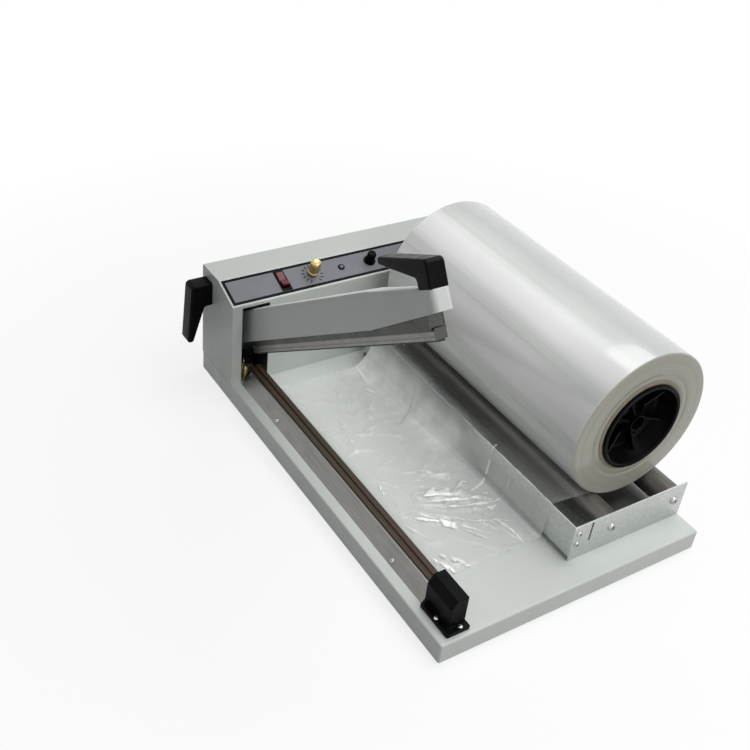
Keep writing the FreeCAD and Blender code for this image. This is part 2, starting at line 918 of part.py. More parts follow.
def ptfe_strip():
    z0 = bar_top + insulation_thickness
    strip = block(left + bar_start, seal_y - strip_width / 2, z0,
                  left + bar_end, seal_y + strip_width / 2, strip_top)
    strip = strip.makeFillet(strip_edge_round, edges_along(strip, X_AXIS, lambda p: p.z > strip_top - 0.01))
    half = wire_width / 2 + wire_play
    groove = block(left + bar_start - 1, seal_y - half, strip_top - wire_height,
                   left + bar_end + 1, seal_y + half, strip_top + 1)
    return strip.cut(groove)


def heating_wire():
    return block(left + bar_start + wire_setback, seal_y - wire_width / 2, strip_top - wire_height,
                 left + bar_end - wire_setback, seal_y + wire_width / 2, strip_top - wire_sink)


def terminal_posts():
    """The two brass posts, in the box's slot, that carry the current to the heating wire."""
    posts = []
    x = left + post_start
    y = arm_front - post_front_gap
    for offset in (0.0, post_pitch):
        post = rod(post_radius, Vector(x + offset, y, base_top), Z_AXIS, post_height)
        collar = rod(collar_radius, Vector(x + offset, y, base_top + collar_place), Z_AXIS, collar_height)
        posts.append(post.fuse(collar).removeSplitter())
    return posts


def shield_slope():
    """The foot and the top of the guard's sloping face, and the direction up it."""
    foot = Vector(0, front + shield_foot, base_top)
    top = Vector(0, seal_y - bar_width / 2 - shield_bar_gap - shield_ledge, bar_top + shield_lift)
    return foot, top, (top - foot).normalize()


def shield_profile():
    """The slope, a narrow ledge over the bar's front edge and a skirt down the bar's front."""
    foot, top, upward = shield_slope()
    edge = top.y + shield_ledge
    foot_inset = shield_sheet / upward.z
    ledge_inset = shield_sheet * (1 - upward.y) / upward.z
    return [(foot.y, foot.z), (top.y, top.z), (edge, top.z), (edge, top.z - shield_skirt),
            (edge - shield_sheet, top.z - shield_skirt), (edge - shield_sheet, top.z - shield_sheet),
            (top.y + ledge_inset, top.z - shield_sheet), (foot.y + foot_inset, foot.z)]


def shield_screw_seat(place):
    """Where a guard screw's head sits, and the direction out of the slope."""
    foot, _, upward = shield_slope()
    return foot + upward * shield_screw_rise + Vector(left + place, 0, 0), Vector(0, -upward.z, upward.y)


def front_shield():
    shield = along_x(shield_profile(), left + shield_start, left + shield_end)
    for place in shield_screw_places:
        seat, outward = shield_screw_seat(place)
        shield = shield.cut(rod(small_screw, seat - outward * shield_screw_length, outward,
                                2 * shield_screw_length))
    return shield


def shield_clips():
    """Small wedges on the base that the guard's screws hold."""
    made = []
    upward = shield_slope()[2]
    for place in shield_screw_places:
        seat, outward = shield_screw_seat(place)
        inner = seat - outward * (shield_sheet + seat_gap)
        foot = inner - upward * ((inner.z - base_top) / upward.z)
        top = inner + upward * clip_reach
        wedge = along_x([(foot.y, base_top), (top.y, top.z), (top.y, base_top)],
                        seat.x - clip_width / 2, seat.x + clip_width / 2)
        hole = rod(small_screw, seat - outward * 2 * shield_screw_length, outward, 3 * shield_screw_length)
        made.append(wedge.cut(hole))
    return made


def shield_screws():
    made = []
    for place in shield_screw_places:
        seat, outward = shield_screw_seat(place)
        made.append(pan_screw(small_screw, seat, outward, shield_screw_length))
    return made


def end_block():
    x0 = left + block_start
    x1 = x0 + block_length
    y0 = front + block_front
    y1 = y0 + block_depth
    z0 = base_top
    z1 = base_top + block_height
    body = along_x([(y0, z0), (y0, z1 - block_bevel_height), (y0 + block_bevel, z1), (y1, z1), (y1, z0)],
                   x0, x1)
    body = body.makeFillet(block_edge_round, edges_along(body, X_AXIS, lambda p: p.z > z0 + 1)
                           + edges_along(body, Z_AXIS, lambda p: True))
    foot = block(x0 + block_foot_inset, front + block_foot_front, z0,
                 x1 + block_foot_margin, y1 + block_foot_back, z0 + block_foot_height)
    foot = foot.makeFillet(block_foot_round, edges_along(foot, Z_AXIS, lambda p: True))
    made = body.fuse(foot)
    for x, y in block_screw_places():
        made = made.cut(rod(small_screw, Vector(x, y, z0 - 1), Z_AXIS, block_height))
    return made.removeSplitter()


def block_screw_places():
    x0 = left + block_start
    ledge = front + (block_foot_front + block_front) / 2
    return [(x0 + block_length * block_screw_share, ledge),
            (x0 + block_length + block_foot_margin / 2, front + block_screw_depth)]


def end_block_screws():
    seat = base_top + block_foot_height
    return [pan_screw(small_screw, Vector(x, y, seat), Z_AXIS, block_foot_height + pan_sheet)
            for x, y in block_screw_places()]


# Sealing arm; built level and closed, then swung open about the pivot


def arm_point(along, y, up):
    return Vector(pivot_x + along, y, pivot_z + up)


def opened(shape):
    shape.rotate(Vector(pivot_x, 0, pivot_z), Y_AXIS, -arm_open_angle)
    return shape


def arm_outline(inset, nose_inset, below):
    """The arm's side view, drawn in by the sheet and run out below for a cutting tool."""
    rise = arm_rise - inset
    tail = arm_tail + 2 * inset
    bottom = -arm_drop - below
    nose = arm_reach - nose_inset
    nose_bottom = -arm_nose_drop - below
    points = [(-tail, bottom), (arm_taper_bottom, bottom), (nose, nose_bottom),
              (nose, arm_nose_rise - inset), (arm_taper_top, rise), (-tail, rise)]
    return [(pivot_x + a, pivot_z + u) for a, u in points]


def arm_channel():
    outer = along_y(arm_outline(0, 0, 0), arm_front, arm_back)
    nose = edges_along(outer, Z_AXIS, lambda p: p.x > pivot_x + arm_reach - 1)
    outer = outer.makeFillet(arm_nose_radius, nose)
    inner = along_y(arm_outline(arm_sheet, arm_sheet, arm_drop), arm_front + arm_sheet, arm_back - arm_sheet)
    nose = edges_along(inner, Z_AXIS, lambda p: p.x > pivot_x + arm_reach - arm_sheet - 1)
    inner = inner.makeFillet(arm_nose_radius - arm_sheet, nose)
    channel = outer.cut(inner)
    top = edges_along(channel, X_AXIS, lambda p: p.z > pivot_z + arm_rise - 0.1)
    channel = channel.makeFillet(arm_bend, top)
    channel = channel.cut(rod(bush_radius, arm_point(0, arm_front - 1, 0), Y_AXIS, arm_width + 2))
    for along in handle_screw_alongs():
        channel = channel.cut(rod(medium_screw, arm_point(along, seal_y, 0), Z_AXIS, 2 * arm_rise))
    return opened(channel)


def pivot_bush():
    start = arm_point(0, arm_front, 0)
    return opened(tube(bush_radius, pivot_radius + bush_wall_gap, start, Y_AXIS, arm_width))


def bar_carrier():
    half = carrier_width / 2
    x0 = pivot_x + carrier_start
    x1 = pivot_x + press_end - carrier_setback
    top = pivot_z + arm_nose_rise - arm_sheet - carrier_top_gap
    bottom = pivot_z - carrier_bottom
    outer = block(x0, seal_y - half, bottom, x1, seal_y + half, top)
    inner = block(x0 - 1, seal_y - half + carrier_sheet, bottom + carrier_sheet,
                  x1 + 1, seal_y + half - carrier_sheet, top + 1)
    carrier = outer.cut(inner)
    for along in carrier_screw_alongs():
        carrier = carrier.cut(rod(small_screw, arm_point(along, seal_y, -press_drop), Z_AXIS, arm_width))
    return opened(carrier)


def press_bar():
    half = press_width / 2
    top = pivot_z - carrier_bottom
    bottom = pivot_z - press_bar_bottom
    x0 = pivot_x + press_start
    x1 = pivot_x + press_end
    outer = block(x0, seal_y - half, bottom, x1, seal_y + half, top)
    groove = block(x0 - 1, seal_y - silicone_width / 2, bottom - 1,
                   x1 + 1, seal_y + silicone_width / 2, bottom + silicone_depth - silicone_proud)
    channel = outer.cut(groove)
    for side in (-1, 1):
        y = seal_y + side * half
        inward = y - side * rebate_depth
        rebate = block(x0 - 1, min(y, inward), bottom + rebate_low,
                       x1 + 1, max(y, inward), bottom + rebate_high)
        channel = channel.cut(rebate)
    for along in carrier_screw_alongs():
        channel = channel.cut(rod(small_screw, arm_point(along, seal_y, -press_drop), Z_AXIS, arm_width))
    return opened(channel)


def silicone_strip():
    half = silicone_width / 2
    bottom = pivot_z - press_drop
    strip = block(pivot_x + press_start, seal_y - half, bottom,
                  pivot_x + press_end, seal_y + half, bottom + silicone_depth)
    strip = strip.makeFillet(silicone_round, edges_along(strip, X_AXIS, lambda p: p.z < bottom + 0.1))
    return opened(strip)


def carrier_screw_alongs():
    span = press_end - carrier_start
    return [carrier_start + span * share for share in carrier_screw_shares]


def carrier_screws():
    """Screws through the carrier's floor that hold the press bar."""
    floor = -carrier_bottom + carrier_sheet
    return [opened(pan_screw(small_screw, arm_point(along, seal_y, floor), Z_AXIS,
                             carrier_sheet + carrier_screw_bite)) for along in carrier_screw_alongs()]


def handle_solid(length, block_length):
    """An L-shaped handle: its nose at the origin, its grip towards -X, its seat on Z = 0."""
    top_end = handle_height + length * math.tan(handle_slope)
    profile = [(0, 0), (0, handle_height), (length, top_end), (length, top_end - handle_tip),
               (block_length, handle_throat), (block_length, 0)]
    body = along_y([(-a, u) for a, u in profile], -grip_width / 2, grip_width / 2)
    rounds = ((0, handle_height, handle_nose_round), (length, top_end, handle_tip_round),
              (length, top_end - handle_tip, handle_tip_round),
              (block_length, handle_throat, handle_throat_round))
    for a, u, radius in rounds:
        corner = edges_along(body, Y_AXIS, lambda p: math.hypot(p.x + a, p.z - u) < 0.5)
        body = body.makeFillet(radius, corner)
    rim = [e for e in body.Edges
           if abs(abs(e.CenterOfMass.y) - grip_width / 2) < 1e-6 and e.CenterOfMass.z > 0.01]
    return body.makeFillet(handle_edge_round, rim)


def handle_screw_alongs():
    nose = arm_reach - handle_setback
    return [nose - arm_handle_block * share for share in handle_screw_shares]


def arm_top(along):
    """The height of the arm's upper face above the pivot, at a distance along it."""
    taper = max(0.0, along - arm_taper_top) / (arm_reach - arm_taper_top)
    return arm_rise - taper * (arm_rise - arm_nose_rise)


def arm_handle():
    body = handle_solid(arm_handle_length, arm_handle_block)
    slope = math.degrees(math.atan2(arm_rise - arm_nose_rise, arm_reach - arm_taper_top))
    body.rotate(Vector(), Y_AXIS, slope)
    nose = arm_reach - handle_setback
    body.translate(arm_point(nose, seal_y, arm_top(nose) + seat_gap))
    for along in handle_screw_alongs():
        body = body.cut(rod(medium_screw, arm_point(along, seal_y, 0), Z_AXIS,
                            arm_nose_rise + handle_screw_bore))
    return opened(body)


def handle_screws():
    """Two screws from inside the arm up into the handle."""
    made = []
    for along in handle_screw_alongs():
        seat = arm_point(along, seal_y, arm_top(along) - arm_sheet - 2 * running_gap)
        made.append(opened(pan_screw(medium_screw, seat, Z_AXIS * -1, handle_screw_length)))
    return made


def handle_screw_xs():
    x = left + side_handle_centre
    return [x - side_screw_offset, x + side_screw_offset]


def side_screw_z():
    return box_top - side_handle_top - side_handle_block / 2


def side_handle():
    """The second handle, on the box's front end face, with its grip hanging down."""
    body = handle_solid(side_handle_length, side_handle_block)
    body.rotate(Vector(), Y_AXIS, -90)
    body.rotate(Vector(), Z_AXIS, 90)
    body.translate(Vector(left + side_handle_centre, front, box_top - side_handle_top))
    for x in handle_screw_xs():
        body = body.cut(rod(medium_screw, Vector(x, front - side_screw_bore, side_screw_z()), Y_AXIS,
                            side_screw_bore + 1))
    return body


def side_handle_screws():
    return [pan_screw(medium_screw, Vector(x, front + box_sheet, side_screw_z()), Y_AXIS,
                      side_screw_length) for x in handle_screw_xs()]


# Arm pivot


def pivot_bracket():
    y0 = arm_front - ear_gap - ear_sheet
    y1 = arm_back + ear_gap + ear_sheet
    x0 = pivot_x - ear_half_width
    x1 = pivot_x + ear_half_width
    floor = block(x0, y0, base_top, x1, y1, base_top + ear_sheet)
    bracket = floor
    for start in (y0, y1 - ear_sheet):
        plate = along_y([(x0, base_top), (x1, base_top), (pivot_x + ear_radius, pivot_z),
                         (pivot_x - ear_radius, pivot_z)], start, start + ear_sheet)
        plate = plate.fuse(rod(ear_radius, Vector(pivot_x, start, pivot_z), Y_AXIS, ear_sheet))
        plate = plate.cut(rod(pivot_radius, Vector(pivot_x, start - 1, pivot_z), Y_AXIS, ear_sheet + 2))
        bracket = bracket.fuse(plate)
    for x, y in bracket_screw_places():
        bracket = bracket.cut(rod(medium_screw, Vector(x, y, base_top - 1), Z_AXIS, ear_sheet + 2))
    return bracket.removeSplitter()


def bracket_screw_places():
    return [(pivot_x - bracket_screw_offset, seal_y), (pivot_x + bracket_screw_offset, seal_y)]


def bracket_screws():
    return [pan_screw(medium_screw, Vector(x, y, base_top + ear_sheet), Z_AXIS, ear_sheet + pan_sheet)
            for x, y in bracket_screw_places()]


def pivot_shaft():
    overhang = ear_gap + ear_sheet + shaft_overhang
    length = arm_width + 2 * overhang
    shaft = rod(pivot_radius, Vector(pivot_x, arm_front - overhang, pivot_z), Y_AXIS, length)
    for y in clip_places():
        start = Vector(pivot_x, y, pivot_z)
        inner = pivot_radius - clip_groove_depth
        shaft = shaft.cut(tube(pivot_radius + 1, inner, start, Y_AXIS, clip_sheet + 2 * clip_play))
    return shaft


def clip_places():
    return [arm_front - ear_gap - ear_sheet - clip_front_gap, arm_back + ear_gap + ear_sheet + clip_back_gap]


def pivot_clips():
    made = []
    for y in clip_places():
        ring = tube(pivot_radius + clip_rim, pivot_radius - clip_grip,
                    Vector(pivot_x, y + clip_play, pivot_z), Y_AXIS, clip_sheet)
        half = clip_mouth / 2
        ring = ring.cut(block(pivot_x - half, y - 1, pivot_z - ear_radius, pivot_x + half, y + 2, pivot_z))
        made.append(ring)
    return made


def return_spring():
    """A torsion spring round the bush, one leg down to the bracket and one up under the arm."""
    mean = bush_radius + spring_wire + spring_play
    pitch = 2 * spring_wire + spring_turn_gap
    lift = arm_open_angle + spring_leg_lift
    turns = spring_turns + (90 - lift) / 360
    height = pitch * turns
    steps = round(turns * spring_facets)
    path = []
    for step in range(steps + 1):
        share = step / steps
        turn = 2 * math.pi * turns * share
        path.append(Vector(mean * math.cos(turn), mean * math.sin(turn), height * share))
    corners = []
    for side in range(spring_sides):
        turn = 2 * math.pi * side / spring_sides
        corners.append(Vector(mean + spring_wire * math.cos(turn), 0, spring_wire * math.sin(turn)))
    section = Part.makePolygon(corners + corners[:1])
    coil = Part.makePolygon(path).makePipeShell([section], True, False, 1)
    floor = base_top + ear_sheet + running_gap
    leg_down = rod(spring_wire, Vector(mean, 0, 0), Vector(0, -1, 0), pivot_z - floor)
    turned = math.radians(90 - lift)
    end = Vector(mean * math.cos(turned), mean * math.sin(turned), height)
    leg_up = rod(spring_wire, end, Vector(-math.sin(turned), math.cos(turned), 0), spring_leg)
    spring = coil.fuse(leg_down).fuse(leg_up)
    spring.rotate(Vector(), X_AXIS, -90)
    spring.rotate(Vector(), Y_AXIS, 180)
    spring.translate(Vector(pivot_x, seal_y - height / 2, pivot_z))
    return spring


# Micro switch that tells the timer that the arm is down


def lever_pivot():
    """The lever turns beside the bracket, under the arm's back wall."""
    lever_top = lever_length * math.sin(math.radians(lever_pressed)) + 3.0
    return Vector(pivot_x + lever_offset, arm_back - arm_sheet / 2,
                  pivot_z - arm_drop - seat_clearance - lever_top)


def across_lever(x, half_width, dx0, dz0, dx1, dz1):
    """A block across the lever's middle plane, from its pivot."""
    return block(x.x + dx0, x.y - half_width, x.z + dz0, x.x + dx1, x.y + half_width, x.z + dz1)


def micro_switch():
    p = lever_pivot()
    front_end = -switch_case_front
    back_end = front_end + switch_case_length
    half = switch_case_width / 2
    made = across_lever(p, half, front_end, -switch_case_bottom, back_end, -switch_case_top)
    made = made.fuse(across_lever(p, half, front_end + switch_leg_inset, base_top - p.z,
                                  back_end - switch_leg_inset, -switch_case_bottom))
    ears = across_lever(p, switch_ear_width / 2, -switch_ear_half, -switch_case_top,
                        switch_ear_half, switch_ear_top)
    ears = ears.cut(across_lever(p, switch_ear_gap / 2, -lever_length, lever_sheet / 4 - switch_case_top,
                                 lever_length, lever_length))
    made = made.fuse(ears)
    made = made.fuse(rod(lever_pin, p - Y_AXIS * (switch_ear_width / 2), Y_AXIS, switch_ear_width))
    plunger = Vector(p.x + plunger_place, p.y, p.z - switch_case_top - plunger_seat)
    return made.fuse(rod(plunger_radius, plunger, Z_AXIS, plunger_height)).removeSplitter()


def switch_lever():
    p = lever_pivot()
    half = lever_width / 2
    lever = rod(lever_hub, p - Y_AXIS * half, Y_AXIS, lever_width)
    lever = lever.fuse(across_lever(p, half, 0, -lever_sheet / 2, lever_length, lever_sheet / 2))
    lever = lever.fuse(rod(lever_tip, p + Vector(lever_length, -half, lever_tip_rise), Y_AXIS, lever_width))
    lever = lever.cut(rod(lever_pin + lever_pin_play, p - Y_AXIS * lever_width, Y_AXIS, 2 * lever_width))
    lever.rotate(p, Y_AXIS, -(lever_pressed + lever_throw))
    return lever.removeSplitter()


# Film cradle


def end_plate(x0, inward):
    """One end of the cradle: an upright sheet with a foot flange turned inwards."""
    x1 = x0 + cradle_sheet
    plate = block(x0, cradle_y, base_top, x1, back - plate_back_gap, cradle_top)
    corners = edges_along(plate, X_AXIS, lambda p: p.z > cradle_top - 0.1)
    plate = plate.makeFillet(plate_corner, corners)
    near = x1 if inward > 0 else x0
    far = near + inward * cradle_flange
    flange = block(min(near, far), cradle_y + flange_inset, base_top, max(near, far), back - flange_inset,
                   base_top + cradle_sheet)
    plate = plate.fuse(flange)
    for y in roller_ys:
        plate = plate.cut(rod(axle_screw, Vector(x0 - 1, y, roller_z), X_AXIS, cradle_sheet + 2))
    for y, z in front_screw_spots():
        plate = plate.cut(rod(medium_screw, Vector(x0 - 1, y, z), X_AXIS, cradle_sheet + 2))
    for x, y in flange_screw_places():
        plate = plate.cut(rod(small_screw, Vector(x, y, base_top - 1), Z_AXIS, cradle_sheet + 2))
    return plate


def flange_screw_places():
    inset = cradle_sheet + cradle_flange / 2
    return [(x, y) for x in (left_plate + inset, right_plate - inset)
            for y in (cradle_y + flange_screw_front, back - flange_screw_back)]


def cradle_right():
    plate = end_plate(right_plate - cradle_sheet, -1)
    slot_y = cradle_y + slot_place
    plate = plate.cut(block(right_plate - 2 * cradle_sheet, slot_y, base_top + slot_low,
                            right_plate + 1, slot_y + slot_width, base_top + slot_high))
    return plate.removeSplitter()


def cradle_left():
    return end_plate(left_plate, 1).removeSplitter()


def front_screw_spots():
    return [(cradle_y + front_screw_depth, base_top + cradle_height * share) for share in front_screw_shares]


def front_plate():
    x0 = left_plate + cradle_sheet
    x1 = right_plate - cradle_sheet
    z0 = base_top + front_plate_lift
    plate = block(x0, cradle_y, z0, x1, cradle_y + cradle_sheet, cradle_top)
    plate = plate.makeFillet(front_edge_round, edges_along(plate, X_AXIS, lambda p: p.z > cradle_top - 0.01))
    for near, far in ((x0, x0 + cradle_sheet), (x1 - cradle_sheet, x1)):
        tab = block(near, cradle_y, z0, far, cradle_y + front_flange, cradle_top - front_tab_drop)
        plate = plate.fuse(tab)
    lip = block(x0, cradle_y, z0, x1, cradle_y + front_lip, z0 + cradle_sheet)
    plate = plate.fuse(lip)
    for y, z in front_screw_spots():
        plate = plate.cut(rod(medium_screw, Vector(x0 - 1, y, z), X_AXIS, x1 - x0 + 2))
    return plate.removeSplitter()


def cradle_screws():
    made = []
    grip = 2 * cradle_sheet + front_screw_grip
    for y, z in front_screw_spots():
        made.append(pan_screw(medium_screw, Vector(right_plate, y, z), X_AXIS, grip))
        made.append(pan_screw(medium_screw, Vector(left_plate, y, z), X_AXIS * -1, grip))
    for x, y in flange_screw_places():
        made.append(pan_screw(small_screw, Vector(x, y, base_top + cradle_sheet), Z_AXIS,
                              cradle_sheet + pan_sheet))
    return made


def roller_tube(y):
    start = Vector(roller_x0 + cap_rim, y, roller_z)
    length = roller_x1 - roller_x0 - 2 * cap_rim
    return tube(roller_radius, roller_radius - roller_wall, start, X_AXIS, length)


def roller_caps(y):
    made = []
    for x, inward in ((roller_x0, 1), (roller_x1, -1)):
        rim = rod(roller_radius - cap_step, Vector(x, y, roller_z), X_AXIS * inward, cap_rim)
        plug = rod(roller_radius - roller_wall, Vector(x + inward * cap_rim, y, roller_z),
                   X_AXIS * inward, cap_length)
        bore = rod(roller_axle_radius + shaft_play, Vector(x - inward, y, roller_z), X_AXIS * inward,
                   cap_length + cap_rim + 2)
        made.append(rim.fuse(plug).cut(bore).removeSplitter())
    return made


def roller_axle(y):
    x0 = left_plate + cradle_sheet
    x1 = right_plate - cradle_sheet
    axle = rod(roller_axle_radius, Vector(x0, y, roller_z), X_AXIS, x1 - x0)
    for x, inward in ((x0, 1), (x1, -1)):
        axle = axle.cut(rod(axle_screw, Vector(x, y, roller_z), X_AXIS * inward, axle_thread))
    return axle


def axle_screws():
    made = []
    for y in roller_ys:
        made.append(pan_screw(axle_screw, Vector(right_plate, y, roller_z), X_AXIS, axle_screw_length))
        made.append(pan_screw(axle_screw, Vector(left_plate, y, roller_z), X_AXIS * -1, axle_screw_length))
    return made


# Film roll


def film_roll():
    axis = Vector(roll_x0, roll_y, roll_z)
    roll = rod(roll_radius, axis, X_AXIS, roll_length)
    rims = end_edges(roll, axis, X_AXIS, 0) + end_edges(roll, axis, X_AXIS, roll_length)
    roll = roll.makeChamfer(roll_edge, rims)
    return roll.cut(rod(core_radius, axis, X_AXIS, roll_length))


def film_core():
    return tube(core_radius, core_radius - core_wall, Vector(roll_x0, roll_y, roll_z), X_AXIS, roll_length)


def core_plug(x, inward):
    """A flanged end plug with a bowl and a hub, turned about the roll's axis."""
    inner = core_radius - core_wall
    floor = plug_depth - plug_web
    hub_top = plug_flange
    profile = [(hub_top, 0.0), (hub_top, plug_hub_bore), (floor - plug_bowl_edge, plug_hub_radius),
               (floor, plug_hub_radius + 2 * plug_web), (floor, inner - plug_hub_radius),
               (plug_flange / 2, inner - plug_bowl_edge), (-plug_flange, inner - plug_flange / 2),
               (-plug_flange, plug_flange_radius), (0.0, plug_flange_radius), (0.0, inner),
               (plug_depth, inner), (plug_depth, 0.0)]
    corners = [Vector(x + inward * a, roll_y, roll_z + r) for a, r in profile]
    face = Part.Face(Part.makePolygon(corners + corners[:1]))
    return face.revolve(Vector(x, roll_y, roll_z), X_AXIS, 360)


def film_path(gap):
    """The film's centre line in y and z: off the front roller, over the front plate, to the seal bar."""
    top = cradle_top + gap
    face = cradle_y - gap
    floor = base_top + gap
    roller = roller_radius + gap
    leave_y = roller_ys[0] + film_wrap
    leave_z = roller_z + math.sqrt(roller ** 2 - film_wrap ** 2)
    end_y = seal_y + strip_width / 2 + film_bar_gap
    return [(leave_y, leave_z), (cradle_y + cradle_sheet + 1, top), (face, top),
            (face, floor + film_fold), (face - film_fold, floor), (end_y + film_rise_start, floor),
            (end_y + film_rise_end + gap, strip_top - 2 + gap), (end_y, strip_top - 1 + gap)]


def film_web():
    """The drawn-off film as one thin folded sheet."""
    inner = film_path(running_gap)
    outer = film_path(running_gap + film_thickness)
    profile = inner + outer[::-1]
    return along_x(profile, left + film_start, left + film_start + film_width)


def pan_screw_holes(pan):
    """Clear every screw that goes down through the base's top."""
    spots = [(x, y, small_screw) for x, y in box_screw_places()]
    spots += [(x, y, small_screw) for x, y in transformer_screw_places()]
    spots += [(x, y, small_screw) for x, y in block_screw_places()]
    spots += [(x, y, medium_screw) for x, y in bracket_screw_places()]
    spots += [(x, y, small_screw) for x, y in flange_screw_places()]
    for x, y, radius in spots:
        pan = pan.cut(rod(radius, Vector(x, y, base_top - 2 * pan_sheet), Z_AXIS, 3 * pan_sheet))
    return pan


save("base_pan", pan_screw_holes(base_pan()))
save("bottom_cover", bottom_cover())
save("rubber_feet", *feet())
save("control_box_shell", control_box_shell())
save("panel_label", panel_label())
save("switch_housing", switch_housing())
save("switch_rocker", switch_rocker())
save("timer_potentiometer", timer_potentiometer())
save("timer_shaft", timer_shaft())
save("timer_knob", timer_knob())
save("indicator_lamp", indicator_lamp())
save("indicator_lens", indicator_lens())
save("fuse_holder", fuse_holder())
save("fuse_cap", fuse_cap())
save("glass_fuse", glass_fuse())
save("cord_grommet", cord_grommet())

core_stack, winding, strap = transformer()
save("transformer_core", core_stack)
save("transformer_coil", winding)
save("transformer_strap", strap)
board, posts, board_parts = timer_board()
save("timer_board", board)
save("board_standoffs", *posts)
save("board_components", *board_parts)

save("seal_bar_base", seal_bar_base())
save("seal_insulation", seal_insulation())
save("ptfe_strip", ptfe_strip())
save("heating_wire", heating_wire())
save("terminal_posts", *terminal_posts())
save("front_shield", front_shield())
save("shield_clips", *shield_clips())
save("end_block", end_block())
save("small_base_screws", *(box_screws() + transformer_screws() + shield_screws() + end_block_screws()))

save("arm_channel", arm_channel())
save("pivot_bush", pivot_bush())
save("bar_carrier", bar_carrier())
save("press_bar", press_bar())
save("silicone_strip", silicone_strip())
save("arm_handle", arm_handle())
save("arm_screws", *(carrier_screws() + handle_screws()))
save("side_handle", side_handle())
save("pivot_bracket", pivot_bracket())
save("large_base_screws", *(bracket_screws() + side_handle_screws()))
save("pivot_shaft", pivot_shaft())
save("pivot_clips", *pivot_clips())
save("return_spring", return_spring())
save("micro_switch", micro_switch())
save("switch_lever", switch_lever())

save("cradle_right_plate", cradle_right())
save("cradle_left_plate", cradle_left())
save("cradle_front_plate", front_plate())
save("cradle_screws", *cradle_screws())
for name, y in (("front", roller_ys[0]), ("rear", roller_ys[1])):
    save(name + "_roller", roller_tube(y))
    save(name + "_roller_caps", *roller_caps(y))
save("roller_axles", *[roller_axle(y) for y in roller_ys])
save("axle_screws", *axle_screws())
save("film_roll", film_roll())
save("film_core", film_core())
save("core_plugs", core_plug(roll_x0, 1), core_plug(roll_x1, -1))
save("film_web", film_web())
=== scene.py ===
import json
import math

import bmesh
import bpy
import numpy
from mathutils import Matrix, Vector, noise

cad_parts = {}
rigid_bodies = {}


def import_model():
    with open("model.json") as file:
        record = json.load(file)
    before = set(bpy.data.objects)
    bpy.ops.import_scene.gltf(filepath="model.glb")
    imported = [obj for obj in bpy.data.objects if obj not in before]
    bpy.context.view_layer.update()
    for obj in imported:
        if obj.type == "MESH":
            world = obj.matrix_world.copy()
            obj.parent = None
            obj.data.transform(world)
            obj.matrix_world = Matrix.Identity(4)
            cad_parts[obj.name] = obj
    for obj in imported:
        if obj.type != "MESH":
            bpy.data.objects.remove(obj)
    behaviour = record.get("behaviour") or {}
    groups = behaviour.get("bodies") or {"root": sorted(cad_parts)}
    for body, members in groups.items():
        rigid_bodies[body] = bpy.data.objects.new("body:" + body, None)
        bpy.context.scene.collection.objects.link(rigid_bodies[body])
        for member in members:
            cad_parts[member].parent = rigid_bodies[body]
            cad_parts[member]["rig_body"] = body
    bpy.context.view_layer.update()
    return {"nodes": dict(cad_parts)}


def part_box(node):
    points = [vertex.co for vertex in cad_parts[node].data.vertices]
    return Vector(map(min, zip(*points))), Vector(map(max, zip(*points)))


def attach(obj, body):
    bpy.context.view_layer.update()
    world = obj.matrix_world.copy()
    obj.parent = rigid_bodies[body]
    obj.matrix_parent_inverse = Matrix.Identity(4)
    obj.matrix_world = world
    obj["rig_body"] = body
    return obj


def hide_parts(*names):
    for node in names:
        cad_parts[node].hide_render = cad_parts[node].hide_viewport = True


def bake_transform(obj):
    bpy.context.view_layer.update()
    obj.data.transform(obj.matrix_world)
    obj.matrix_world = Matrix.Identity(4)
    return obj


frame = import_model()
nodes = frame["nodes"]
scene = bpy.context.scene
print("frame loaded:", len(nodes), "nodes")

mm = 0.001
alongX = Vector((1, 0, 0))
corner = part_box("base_pan")[0].copy()
corner.z = 0.0


def at(x, y, z):
    # millimetres from the base's front left corner, as the part is drawn
    return Vector((corner.x + x * mm, corner.y + y * mm, z * mm))


def middleOf(nodeName):
    low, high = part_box(nodeName)
    return (low + high) / 2


# the sloping panel's own directions, in mm
panel = {"foldX": 45.0, "topZ": 166.0, "run": 43.0, "drop": 16.0, "depth": 372.0, "margin": 2.5, "sheet": 0.3}
panelLength = math.hypot(panel["run"], panel["drop"])
panelDown = Vector((panel["run"], 0, -panel["drop"])) / panelLength
panelUp = Vector((panel["drop"], 0, panel["run"])) / panelLength


def onPanel(y, down, above):
    return at(panel["foldX"], y, panel["topZ"]) + (panelDown * down + panelUp * above) * mm


# Node helpers


class Wire:
    # a node's output; reckoning with it adds Math nodes to its tree
    def __init__(self, socket):
        self.socket, self.tree = socket, socket.id_data

    def reckon(self, operation, second=0.0, third=0.0):
        return addNode(self.tree, "ShaderNodeMath", {0: self, 1: second, 2: third}, operation=operation)

    def fit(self, fromLow, fromHigh, toLow=0.0, toHigh=1.0):
        return addNode(self.tree, "ShaderNodeMapRange", {
            "Value": self, "From Min": fromLow, "From Max": fromHigh,
            "To Min": toLow, "To Max": toHigh}, "Result")

    def split(self):
        apart = rawNode(self.tree, "ShaderNodeSeparateXYZ", {0: self})
        return [Wire(apart.outputs[way]) for way in "XYZ"]

    def __add__(self, other):
        return self.reckon("ADD", other)

    def __sub__(self, other):
        return self.reckon("SUBTRACT", other)

    def __mul__(self, other):
        return self.reckon("MULTIPLY", other)

    def __truediv__(self, other):
        return self.reckon("DIVIDE", other)

    def __pow__(self, other):
        return self.reckon("POWER", other)

    def __gt__(self, other):
        return self.reckon("GREATER_THAN", other)

    def __lt__(self, other):
        return self.reckon("LESS_THAN", other)

    def __abs__(self):
        return self.reckon("ABSOLUTE")


